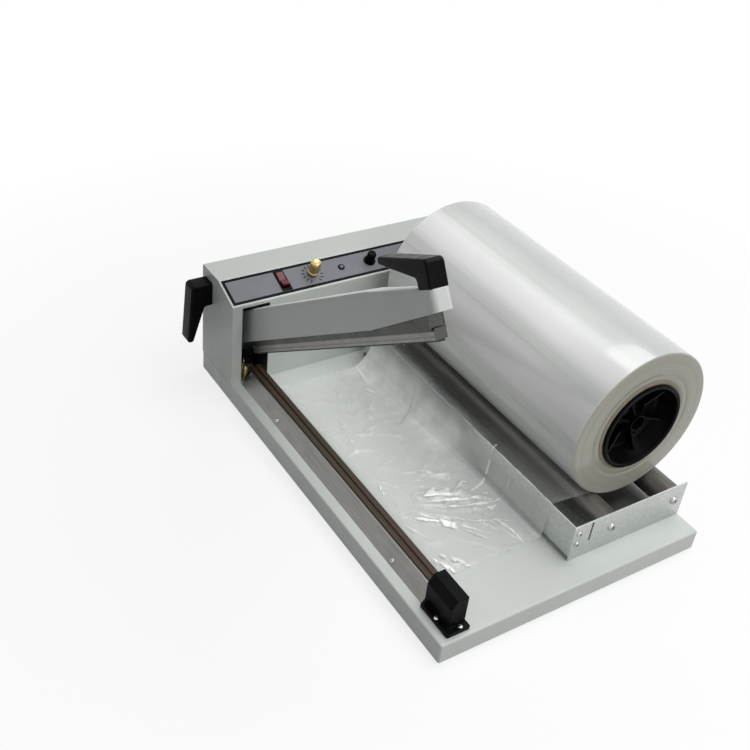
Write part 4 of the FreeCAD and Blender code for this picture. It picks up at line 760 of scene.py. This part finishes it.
def screwPlaces(nodeName):
    # seat under the head, outward direction, shank radius and shank length of each screw of a node
    shell = mergedCopy(nodeName)
    found = []
    for group in islands(shell):
        points = numpy.array([vertex.co[:] for vertex in group])
        middle = points.mean(0)
        # a screw is round, so its two cross spreads are alike and the third is along its axis
        spreads, ways = numpy.linalg.eigh(numpy.cov((points - middle).T))
        odd = min(range(3), key=lambda k: (abs(spreads[k - 1] - spreads[k - 2])
                                           / (spreads[k - 1] + spreads[k - 2])))
        axis = ways[:, odd]
        along = (points - middle) @ axis
        off = numpy.linalg.norm(points - middle - numpy.outer(along, axis), axis=1)
        wide = off > off.max() * 0.97
        if along[wide].mean() < (along.max() + along.min()) / 2:
            axis, along = -axis, -along
        seat = along[wide].min()
        found.append((Vector(middle + axis * seat), Vector(axis), off.max() / headRatio, seat - along.min()))
    shell.free()
    return found


screws = screwTree()
for nodeName in ("small_base_screws", "large_base_screws", "cradle_screws", "axle_screws", "arm_screws"):
    byLength = {}
    for seat, axis, radius, shank in screwPlaces(nodeName):
        byLength.setdefault(round(shank / radius, 1), []).append((seat, axis, radius))
    meshes = []
    for length, group in sorted(byLength.items()):
        dots = bpy.data.meshes.new("dots")
        dots.from_pydata([tuple(seat) for seat, axis, radius in group], [], [])
        dots.attributes.new("facing", "FLOAT_VECTOR", "POINT")
        dots.attributes.new("size", "FLOAT", "POINT")
        for index, (seat, axis, radius) in enumerate(group):
            dots.attributes["facing"].data[index].vector = axis
            dots.attributes["size"].data[index].value = radius
        meshes.append(runTree(screws, dots, {"Shank length": length}))
    name = pieceName(nodeName, "Cross")
    addPiece(name, joined(name, meshes, 35), nodeName, finishes["chrome"])
print("screws made")


# Turned pieces; profiles are (along, radius) in mm

knob = {"radius": 7.0, "length": 22.0, "gap": 3.4, "bore": 3.05, "control": 1, "flutes": 26,
        "fluteDepth": 0.55}
controls = {"first": 81.0, "pitch": 44.0}


def controlY(index):
    return controls["first"] + controls["pitch"] * index


def knobProfile(low, high, wide, bore):
    # up the bore, round the foot and its groove, up the grip and over the domed top
    return [(high - 6, 0), (high - 6, bore), (low, bore), (low, 6.3), (low + 0.5, 6.8), (low + 2.2, 6.8),
            (low + 2.6, 6.2), (low + 3.4, 6.2), (low + 3.8, wide), (low + 4.0, wide), (high - 3.8, wide),
            (high - 3.4, wide), (high - 1.6, 6.5), (high - 0.5, 5.4), (high, 4.2), (high - 0.4, 3.4),
            (high - 0.4, 0)]


knobTop = knob["gap"] + knob["length"]
addPiece("brassKnob", turnedMesh(
    "brassKnob", knobProfile(knob["gap"], knobTop, knob["radius"], knob["bore"]),
    onPanel(controlY(knob["control"]), panelLength / 2, 0), panelUp, 156, 30,
    knob["flutes"], knob["fluteDepth"], knob["gap"] + 3.9, knobTop - 3.5), "timer_knob")


def tubeProfile(length, inner, outer, down=0.4):
    # a tube whose outer edges are taken down a little
    return [(0, inner), (0, outer - down), (0.4, outer), (length - 0.4, outer), (length, outer - down),
            (length, inner), (0, inner)]


rollers = {"radius": 16.0, "wall": 1.5}
inner = rollers["radius"] - rollers["wall"]
capProfile = [(14, 4.1), (0, 4.1), (0, 6.6), (0.7, 7.0), (0.7, 12.4), (0, 12.9), (0, 15.0), (0.4, 15.4),
              (2, 15.4), (2, inner - 0.02), (14, inner - 0.02), (14, 4.1)]
for place in ("front", "rear"):
    low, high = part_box(place + "_roller")
    middle = middleOf(place + "_roller")
    name = place + "RollerTube"
    addPiece(name, turnedMesh(name, tubeProfile((high.x - low.x) / mm, inner, rollers["radius"]),
                              Vector((low.x, middle.y, middle.z)), steps=96), place + "_roller")
    name = place + "RollerEnds"
    caps = [turnedMesh("cap", capProfile, Vector((end.x, middle.y, middle.z)), alongX * way, 64)
            for end, way in zip(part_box(place + "_roller_caps"), (1, -1))]
    addPiece(name, joined(name, caps, 32), place + "_roller_caps")

roll = {"radius": 96.0, "round": 3.2, "core": 60.0, "coreWall": 6.0, "ringAt": 67.0, "ringWidth": 0.8,
        "ringDepth": 0.8}
rollLow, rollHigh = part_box("film_roll")
rollLength = (rollHigh.x - rollLow.x) / mm
rollSeat = Vector((rollLow.x, rollCentre.y, rollCentre.z))


def rollEnd(way, x):
    # the wound end from the core outwards: a recessed inner band, a groove, the outer band and its soft rim
    ring, width, depth = roll["ringAt"], roll["ringWidth"], roll["ringDepth"]
    rows = [(0.9, roll["core"]), (0.35, roll["core"] + 1.0), (0.25, ring - 3.0), (0.5, ring - 0.8),
            (depth, ring), (depth, ring + width), (0.2, ring + width + 0.7), (0.0, ring + 5.0),
            (0.1, 86.0), (0.35, 90.0)]
    for step in range(7):
        angle = math.pi / 2 * step / 6
        rows.append((0.35 + roll["round"] * (1 - math.cos(angle)) * 0.7,
                     roll["radius"] - roll["round"] * (1 - math.sin(angle))))
    return [(x + way * a, r) for a, r in rows]


nearRows, farRows = rollEnd(1, 0.0), rollEnd(-1, rollLength)
rollTop = [(rollLength * k / 8, roll["radius"]) for k in range(1, 8)]
rollProfile = nearRows + rollTop + farRows[::-1] + [nearRows[0]]
addPiece("woundRoll", turnedMesh("woundRoll", rollProfile, rollSeat, steps=180, smoothAngle=44), "film_roll")
coreInner = roll["core"] - roll["coreWall"]
addPiece("paperTube", turnedMesh("paperTube", tubeProfile(rollLength, coreInner, roll["core"], 0.5), rollSeat,
                                 steps=128), "film_core")

plug = {"flange": 4.0, "flangeRadius": 56.0, "depth": 26.0, "ribs": 6, "ribThick": 2.4}


def plugMesh(x, way):
    # a flanged plug: bowl, hub and radial ribs
    deep, out, rim, wall = plug["depth"], -plug["flange"], plug["flangeRadius"], coreInner
    profile = [(deep - 8, 0), (deep - 9, 8.5), (4.6, 8.9), (4.0, 9.6), (4.4, 10.6), (deep - 9, 12.0),
               (deep - 5.6, 17), (deep - 5, 20), (deep - 5, wall - 14), (deep - 7, wall - 11),
               (4.0, wall - 4.6), (0.0, wall - 3.8), (out + 0.9, wall - 3.0), (out, wall - 1.6),
               (out, rim - 1.2), (out + 1.0, rim), (-0.05, rim), (-0.05, wall - 0.1),
               (deep, wall - 0.1), (deep, 0)]
    rib = [(deep - 5.5, 11.0), (deep - 5.5, wall - 12), (9.0, wall - 7.0), (7.5, wall - 8.0),
           (deep - 12, 20.0), (9.0, 11.0)]
    seat = Vector((x, rollCentre.y, rollCentre.z))
    bowl = turnedMesh("plug", profile, seat, alongX * way, 96, 30)
    shell = bmesh.new()
    for index in range(plug["ribs"]):
        turn = Matrix.Rotation(math.tau * (index + 0.25) / plug["ribs"], 4, "X")
        bridge(shell, *([turn @ Vector((a * way * mm, side * plug["ribThick"] / 2 * mm, r * mm)) + seat
                         for a, r in rib] for side in (-1, 1)))
    bmesh.ops.recalc_face_normals(shell, faces=shell.faces)
    return joined("plug", [bowl, toMesh(shell, "ribs")])


plugs = [plugMesh(rollLow.x, 1), plugMesh(rollHigh.x, -1)]
addPiece("corePlugs", joined("corePlugs", plugs, 30), "core_plugs")
print("turned pieces made")


# The panel's printed sheet and the ticks round the timer

# openings: control, half along the slope, half across it (None where it is round), in mm
labelHoles = [(0, 13.9, 5.9), (1, 4.7, None), (2, 4.2, None), (3, 6.15, None)]
ticks = {"count": 13, "sweep": 300.0, "inner": 11.2, "outer": 15.0, "wide": 1.5, "thick": 0.12, "proud": 0.05}


def labelMesh():
    shell = bmesh.new()
    low, high = panel["margin"], panel["depth"] - panel["margin"]
    near, far = panel["margin"], panelLength - panel["margin"]
    loops = [[(near, low), (far, low), (far, high), (near, high)]]
    middleS, middleY = panelLength / 2, (low + high) / 2
    for index, half, side in labelHoles:
        y = controlY(index)
        if side:
            loops.append([(middleS - half, y - side), (middleS + half, y - side), (middleS + half, y + side),
                          (middleS - half, y + side)])
        else:
            loops.append([(middleS + half * math.cos(math.tau * k / 32),
                           y + half * math.sin(math.tau * k / 32)) for k in range(32)])
    edges = []
    for loop in loops:
        verts = [shell.verts.new((s, y, 0)) for s, y in loop]
        edges += [shell.edges.new((verts[k], verts[(k + 1) % len(verts)])) for k in range(len(verts))]
    bmesh.ops.triangle_fill(shell, use_beauty=True, use_dissolve=False, edges=edges)
    flat = shell.loops.layers.uv.new("sheet")
    for face in shell.faces:
        for loop in face.loops:
            loop[flat].uv = ((loop.vert.co.x - middleS) * mm, (loop.vert.co.y - middleY) * mm)
    top = bmesh.ops.extrude_face_region(shell, geom=shell.faces[:])["geom"]
    bmesh.ops.translate(shell, vec=(0, 0, panel["sheet"]),
                        verts=[part for part in top if isinstance(part, bmesh.types.BMVert)])
    bmesh.ops.recalc_face_normals(shell, faces=shell.faces)
    for vertex in shell.verts:
        vertex.co = onPanel(vertex.co.y, vertex.co.x, vertex.co.z)
    return toMesh(shell, "printedPanel", 20)


labelSize = [(length - 2 * panel["margin"]) * mm for length in (panelLength, panel["depth"])]
addPiece("printedPanel", labelMesh(), "panel_label", labelFinish("printedPanel", *labelSize))


def tickTree():
    # thin bars in a fan round the x axis of a point
    tree, entry = startTree("dialTicks", {"Count": 13, "Sweep": 5.2, "Inner": 0.01, "Outer": 0.013,
                                          "Width": 0.0007, "Height": 0.0001})
    line = addNode(tree, "GeometryNodeMeshLine", {"Count": entry["Count"]})
    size = combine(tree, entry["Outer"] - entry["Inner"], entry["Width"], entry["Height"])
    bar = addNode(tree, "GeometryNodeMeshCube", {"Size": size})
    share = addNode(tree, "GeometryNodeInputIndex") / (entry["Count"] - 1.0)
    angle = (share - 0.5) * entry["Sweep"]
    reach = (entry["Outer"] + entry["Inner"]) * 0.5
    spot = combine(tree, reach * angle.reckon("COSINE"), reach * angle.reckon("SINE"))
    fan = addNode(tree, "GeometryNodeSetPosition", {"Geometry": line, "Position": spot})
    turn = addNode(tree, "FunctionNodeAxisAngleToRotation", {"Axis": (0, 0, 1), "Angle": angle})
    return endTree(tree, entry, addNode(tree, "GeometryNodeInstanceOnPoints", {
        "Points": fan, "Instance": bar, "Rotation": turn}))


dot = bpy.data.meshes.new("dot")
dot.from_pydata([(0, 0, 0)], [], [])
fan = runTree(tickTree(), dot, {"Count": ticks["count"], "Sweep": math.radians(ticks["sweep"]),
                                "Inner": ticks["inner"] * mm, "Outer": ticks["outer"] * mm,
                                "Width": ticks["wide"] * mm, "Height": ticks["thick"] * mm})
# the fan opens up the slope, so its gap faces down
toPanel = Matrix((panelDown * -1, Vector((0, -1, 0)), panelUp)).transposed().to_4x4()
fanSeat = onPanel(controlY(knob["control"]), panelLength / 2, panel["sheet"] + ticks["proud"])
fan.transform(Matrix.Translation(fanSeat) @ toPanel)
addPiece("dialTicks", fan, "panel_label", finishes["black_plastic"], replaced=[])
print("panel made")


# The drawn-off film

film = {"left": 121.5, "right": 495.5, "across": 300, "rows": 236, "baseTop": 29.0, "lift": 0.35,
        "plateY": 197.0, "plateTop": 80.0, "rollerY": 255.5, "rollerZ": 57.5, "frontY": 48.1, "frontZ": 43.9,
        "slump": 30.0,
        "seed": 11, "hazyTo": 322.0, "clearFrom": 376.0, "wave": 2.4, "ripple": 0.9, "raised": 1.4}
filmWide = film["right"] - film["left"]
# soft creases on the film: start, end (x, y from the base's corner), half width, height, in mm
creases = [
    ((180, 158), (262, 108), 4.0, 2.0), ((205, 95), (280, 78), 3.0, 1.6), ((365, 96), (425, 195), 5.0, 3.6),
    ((372, 92), (421, 170), 3.2, 3.0), ((380, 84), (433, 169), 3.6, 3.0), ((386, 78), (452, 140), 4.5, 3.4),
    ((300, 185), (352, 120), 4.0, 2.0), ((440, 160), (494, 178), 4.0, 3.0), ((455, 60), (492, 84), 5.0, 3.0),
    ((235, 150), (250, 95), 3.0, 1.4), ((376, 168), (400, 138), 3.0, 3.0), ((395, 70), (425, 104), 2.6, 2.4),
    ((438, 115), (477, 141), 2.0, 2.2), ((352, 82), (410, 62), 3.0, 2.0), ((336, 126), (372, 176), 5.0, 2.2),
]
# painted highlights: patches painted white, by their corners
paintedGlintPatches = [
    [(381, 106), (369, 131), (380, 124), (377, 146), (393, 139)], [(426, 166), (434, 169), (428, 181)],
    [(419, 104), (434, 116), (442, 114), (430, 102)], [(338, 75), (344, 72), (347, 69), (341, 70)],
    [(350, 69), (356, 67), (353, 71)], [(402, 168), (408, 181), (405, 184)],
]
# light and dark lines, painted highlights and painted shade along folds: points, half width in mm, strength
glints = [
    (((392, 139), (378, 164), (379, 172)), 1.5, 1.0), (((396, 164), (390, 185), (383, 205)), 3.0, 0.62),
    (((395, 129), (410, 162), (425, 195)), 1.5, 0.66), (((405, 115), (421, 170), (423, 188)), 2.2, 0.72),
    (((405, 77), (414, 90), (423, 103)), 2.2, 0.76), (((411, 62), (420, 66), (432, 76)), 1.6, 0.62),
    (((122, 171), (144, 168), (166, 166)), 1.7, 1.0), (((167, 158), (176, 161), (184, 165)), 1.6, 0.66),
    (((124, 217), (140, 222), (162, 218)), 3.2, 0.60), (((105, 224), (120, 228), (134, 222)), 3.0, 0.56),
    (((387, 126), (391, 150), (396, 164)), 1.4, 0.6), (((352, 98), (366, 120), (371, 142)), 1.4, 0.52),
    (((464, 70), (480, 84), (494, 92)), 5.5, 0.58), (((470, 60), (486, 70), (497, 72)), 4.0, 0.56),
    (((427, 118), (440, 134), (446, 152)), 1.3, 0.55), (((366, 150), (360, 172), (356, 186)), 1.6, 0.5),
    # the line along the plate's top edge is a painted highlight
    (((300, 197.6), (400, 197.6), (640, 197.6)), 1.0, 0.62), (((410, 100), (436, 134), (462, 186)), 1.5, 0.66),
    (((398, 84), (430, 112), (468, 150)), 1.5, 0.62), (((384, 98), (402, 140), (412, 176)), 1.6, 0.7),
    (((446, 160), (470, 168), (492, 172)), 1.6, 0.6), (((340, 96), (352, 116), (358, 140)), 1.3, 0.56),
]
# painted shade along the folds
darkLines = [
    (((438, 115), (463, 130), (477, 141)), 0.8, 0.7), (((493, 136), (499, 165), (501, 192)), 0.9, 0.8),
    (((243, 154), (252, 159), (223, 201)), 1.2, 0.5), (((477, 141), (488, 152), (494, 178)), 0.8, 0.5),
    (((368, 104), (385, 150), (398, 176)), 1.6, 0.4), (((392, 92), (412, 128), (436, 158)), 1.6, 0.35),
]


def filmRoute(x):
    # (y, z) of the sheet's line at one x, from the roller over the plate and down to the seal bar
    slump = film["slump"] * (1 - (x - film["left"]) / filmWide) ** 1.3 + 2.0
    plateY, frontY, frontZ = film["plateY"], film["frontY"], film["frontZ"]
    plateZ, floor = film["plateTop"] + film["lift"], film["baseTop"] + film["lift"]
    reach = rollers["radius"] + film["lift"]
    points = []
    for degrees in (-24, -14, -4, 6):
        angle = math.radians(degrees)
        points.append((film["rollerY"] - reach * math.sin(angle), film["rollerZ"] + reach * math.cos(angle)))
    points += [(plateY + 30, plateZ - 2.4), (plateY + 2.0, plateZ + 0.1), (plateY - 0.4, plateZ - 0.4)]
    for k in range(1, 6):
        t = k / 6
        points.append((plateY - 1.2 - slump * (1 - math.cos(t * math.pi / 2)) - 2 * t,
                       plateZ - 1 - (plateZ - floor) * math.sin(t * math.pi / 2) * 0.97))
    foot = plateY - slump - 8
    return points + [(foot, floor + 0.4), (foot - 12, floor), (frontY + 30, floor),
                     (frontY + 18, floor + 0.6), (frontY + 10, floor + 4), (frontY + 4, frontZ - 4),
                     (frontY + 0.6, frontZ - 0.8)]


def evenly(points, count):
    # as many points at even steps along the line, and its length
    lengths = [0.0]
    for a, b in zip(points, points[1:]):
        lengths.append(lengths[-1] + math.hypot(b[0] - a[0], b[1] - a[1]))
    made = []
    for k in range(count):
        want = lengths[-1] * k / (count - 1)
        i = max(j for j in range(len(points) - 1) if lengths[j] <= want + 1e-9)
        t = (want - lengths[i]) / (lengths[i + 1] - lengths[i])
        made.append(tuple(a + t * (b - a) for a, b in zip(points[i], points[i + 1])))
    return made, lengths[-1]


def clamp(value):
    return max(0.0, min(1.0, value))


def noiseAt(x, y, z):
    return noise.noise(Vector((x, y, z)))


def toLine(x, y, x0, y0, x1, y1):
    # distance from a stretch of line, and how far along it the nearest spot is
    dx, dy = x1 - x0, y1 - y0
    t = ((x - x0) * dx + (y - y0) * dy) / (dx * dx + dy * dy)
    held = clamp(t)
    return math.hypot(x - x0 - held * dx, y - y0 - held * dy), t


def creaseAt(x, y, wander):
    # height and sharpness of the soft creases at a spot
    height = sharp = 0.0
    for start, end, half, tall in creases:
        off, t = toLine(x, y, *start, *end)
        if off > half * 3:
            continue
        off += wander
        fade = max(0.0, 1 - abs(2 * t - 1) ** 3)
        height += tall * (max(0.0, 1 - abs(off) / (half * 2.0)) * fade)
        sharp = max(sharp, max(0.0, 1 - abs(off) / (half * 1.3)) * fade)
    return height, sharp


def lineAt(x, y, lines):
    # strength of the thin lines at a spot; each line tapers to its ends
    best = 0.0
    for points, half, strength in lines:
        parts = len(points) - 1
        for k in range(parts):
            off, t = toLine(x, y, *points[k], *points[k + 1])
            if off < half * 2:
                taper = 1 - abs(2 * (k + clamp(t)) / parts - 1) ** 2 * 0.7
                best = max(best, strength * clamp(1.5 - off / (half * taper)))
    return best


def paintedGlintAt(x, y):
    # 1 inside a patch, fading over its edge
    best = 0.0
    for shape in paintedGlintPatches:
        inside, near = False, 9.0
        for (x0, y0), (x1, y1) in zip(shape, shape[1:] + shape[:1]):
            near = min(near, toLine(x, y, x0, y0, x1, y1)[0])
            if (y0 > y) != (y1 > y) and x < x0 + (y - y0) * (x1 - x0) / (y1 - y0):
                inside = not inside
        best = max(best, clamp(0.5 + (near if inside else -near) / 1.6))
    return best


def hazeAt(x, y, z):
    # cover and painted shade of the sheet: several layers hang at the left, a single clear one at the right;
    # the shade darkens the top of the hazy hang
    share = (x - film["left"]) / filmWide
    clear = clamp((x - film["hazyTo"]) / (film["clearFrom"] - film["hazyTo"]))
    lying = 0.33 - 0.22 * share
    hang = clamp((y - film["plateY"] + 60) / 42)
    high = clamp((z - 44) / 34)
    cover = lying + hang * ((0.90 - 0.24 * high - lying) * (1 - clear) + (0.42 - 0.32 * high - lying) * clear)
    if y > film["plateY"]:
        cover += (0.20 - cover) * clamp((y - film["plateY"]) / 14)
    return cover, clamp((z - 58) / 22) * (1 - clear) * hang


def filmMesh():
    rows = film["rows"]
    verts = []
    marks = {"crease": [], "haze": [], "flake": [], "shade": []}
    for i in range(film["across"] + 1):
        x = film["left"] + filmWide * i / film["across"]
        for y, z in evenly(filmRoute(x), rows)[0]:
            onBase = clamp((film["plateY"] - 14 - y) / 20) * clamp((y - film["frontY"] - 2) / 20)
            hang = 1 - onBase
            wave = noiseAt(x * 0.014, y * 0.021, film["seed"]) + 0.5 * noiseAt(x * 0.04, y * 0.055, 3.1)
            ripple = max(0.0, 1 - abs(noiseAt(x * 0.026 + 4, y * 0.034, 9.7)) * 6)
            wander = 1.6 * noiseAt(x * 0.05, y * 0.05, 2.3)
            tall, sharp = creaseAt(x, y, wander)
            # painted highlights on the film
            glint = max(paintedGlintAt(x, y), lineAt(x + wander * 0.4, y, glints))
            cover, shade = hazeAt(x, y, z)
            # painted shade along the folds
            dark = lineAt(x, y + wander * 0.4, darkLines)
            rise = onBase * (max(0.0, wave) * film["wave"] + ripple * film["ripple"] + tall
                             + film["raised"] * glint)
            out = hang * 0.9 * noiseAt(x * 0.03, z * 0.04, 1.7)
            aside = 1.2 * noiseAt(y * 0.03, x * 0.004, 5.0)
            verts.append(at(x + aside, y + out, z + rise + hang * 0.1))
            marks["crease"].append(min(1.0, onBase * (sharp + ripple * 0.3)))
            marks["haze"].append(max(cover, 0.5 * dark))
            marks["flake"].append(glint)
            marks["shade"].append(max(shade, dark))
    starts = [i * rows + k for i in range(film["across"]) for k in range(rows - 1)]
    mesh = bpy.data.meshes.new("drawnFilm")
    mesh.from_pydata(verts, [], [(a, a + rows, a + rows + 1, a + 1) for a in starts])
    for label, values in marks.items():
        mesh.attributes.new(label, "FLOAT", "POINT").data.foreach_set("value", values)
    mesh.polygons.foreach_set("use_smooth", [True] * len(mesh.polygons))
    mesh.update()
    return mesh


filmSheet = addPiece("drawnFilmSheet", filmMesh(), "film_web")
filmLengths = [evenly(filmRoute(x), 50)[1]
               for x in (film["left"], (film["left"] + film["right"]) / 2, film["right"])]
sum(filmLengths) / 3 * mm
print("film laid")


# Stage, light and camera

studio = {"background": 1.0, "around": 0.20, "floorSize": 6.0, "floorShade": 0.2, "floorTint": 0.45,
          "floorSeen": 0.97, "shadowTo": 0.42, "whiteFrom": 0.95}


def bareTree(owner):
    owner.use_nodes = True
    owner.node_tree.nodes.clear()
    return owner.node_tree


def even(tree, kind, level, **strength):
    return addNode(tree, kind, {"Color": (level, level, level, 1), **strength})


def lightOnly(tree, plain, shown):
    # the shown shader for camera, glossy and transmitted rays, the plain one for light
    path = rawNode(tree, "ShaderNodeLightPath")
    camera, glossy, through = (Wire(path.outputs[f"Is {kind} Ray"])
                               for kind in ("Camera", "Glossy", "Transmission"))
    seen = camera.reckon("MAXIMUM", glossy.reckon("MAXIMUM", through))
    return addNode(tree, "ShaderNodeMixShader", {0: seen, 1: plain, 2: shown})


scene.world = bpy.data.worlds.new("studio")
tree = bareTree(scene.world)
ambient = even(tree, "ShaderNodeBackground", 1, Strength=studio["around"])
white = even(tree, "ShaderNodeBackground", 1, Strength=studio["background"])
rawNode(tree, "ShaderNodeOutputWorld", {0: lightOnly(tree, ambient, white)})

floorMesh = bpy.data.meshes.new("floor")
half = studio["floorSize"] / 2
corners = [(-half, -half, 0), (half, -half, 0), (half, half, 0), (-half, half, 0)]
floorMesh.from_pydata(corners, [], [(0, 1, 2, 3)])
floor = bpy.data.objects.new("floor", floorMesh)
scene.collection.objects.link(floor)
floorLook = bpy.data.materials.new("floor")
tree = bareTree(floorLook)
matt = even(tree, "ShaderNodeBsdfDiffuse", studio["floorTint"])
paper = even(tree, "ShaderNodeBsdfDiffuse", studio["floorSeen"])
glow = even(tree, "ShaderNodeEmission", 1, Strength=1.0)
# the shadow is kept round the object and fades to plain white further out
spot = addNode(tree, "ShaderNodeTexCoord", out="Object")
away = addNode(tree, "ShaderNodeVectorMath", {0: spot}, "Value", operation="LENGTH")
whiter = away.fit(studio["shadowTo"], studio["whiteFrom"], 1 - studio["floorShade"], 1.0)
pale = addNode(tree, "ShaderNodeMixShader", {0: whiter, 1: paper, 2: glow})
rawNode(tree, "ShaderNodeOutputMaterial", {0: lightOnly(tree, matt, pale)})
floorMesh.materials.append(floorLook)

# name: place, aim, size, power (W), all soft boxes
lamps = {
    "overhead": ((0.10, 0.45, 1.55), (0.05, 0.05, 0.05), (1.5, 1.1), 19.0),
    "rightSide": ((1.55, 0.15, 0.85), (0.0, 0.0, 0.1), (0.9, 0.9), 6.8),
    "frontFill": ((0.55, -1.45, 0.9), (0.0, 0.0, 0.1), (0.9, 0.7), 0.8),
}
for name, (place, aim, size, power) in lamps.items():
    data = bpy.data.lights.new(name, "AREA")
    data.shape = "RECTANGLE"
    data.size, data.size_y = size
    data.energy = power
    lamp = bpy.data.objects.new(name, data)
    lamp.location = place
    lamp.rotation_euler = (Vector(aim) - Vector(place)).to_track_quat("-Z", "Y").to_euler()
    scene.collection.objects.link(lamp)

# angles in degrees, lens in mm, place in metres
view = {"azimuth": 53.94, "elevation": 35.91, "roll": 6.81, "lens": 51.33,
        "place": (0.81068, -0.68860, 0.87991)}
azimuth, elevation, tilt = (math.radians(view[key]) for key in ("azimuth", "elevation", "roll"))
back = Vector((math.sin(azimuth) * math.cos(elevation), -math.cos(azimuth) * math.cos(elevation),
               math.sin(elevation)))
level = (-back).cross(Vector((0, 0, 1))).normalized()
upright = level.cross(-back)
sideways = level * math.cos(tilt) + upright * math.sin(tilt)
upward = upright * math.cos(tilt) - level * math.sin(tilt)
lensData = bpy.data.cameras.new("camera")
lensData.lens = view["lens"]
lensData.sensor_width = 36.0
lensData.clip_start, lensData.clip_end = 0.02, 20.0
camera = bpy.data.objects.new("camera", lensData)
facing = Matrix((sideways, upward, back)).transposed().to_4x4()
camera.matrix_world = Matrix.Translation(view["place"]) @ facing
scene.collection.objects.link(camera)
scene.camera = camera

scene.view_settings.view_transform = "Standard"
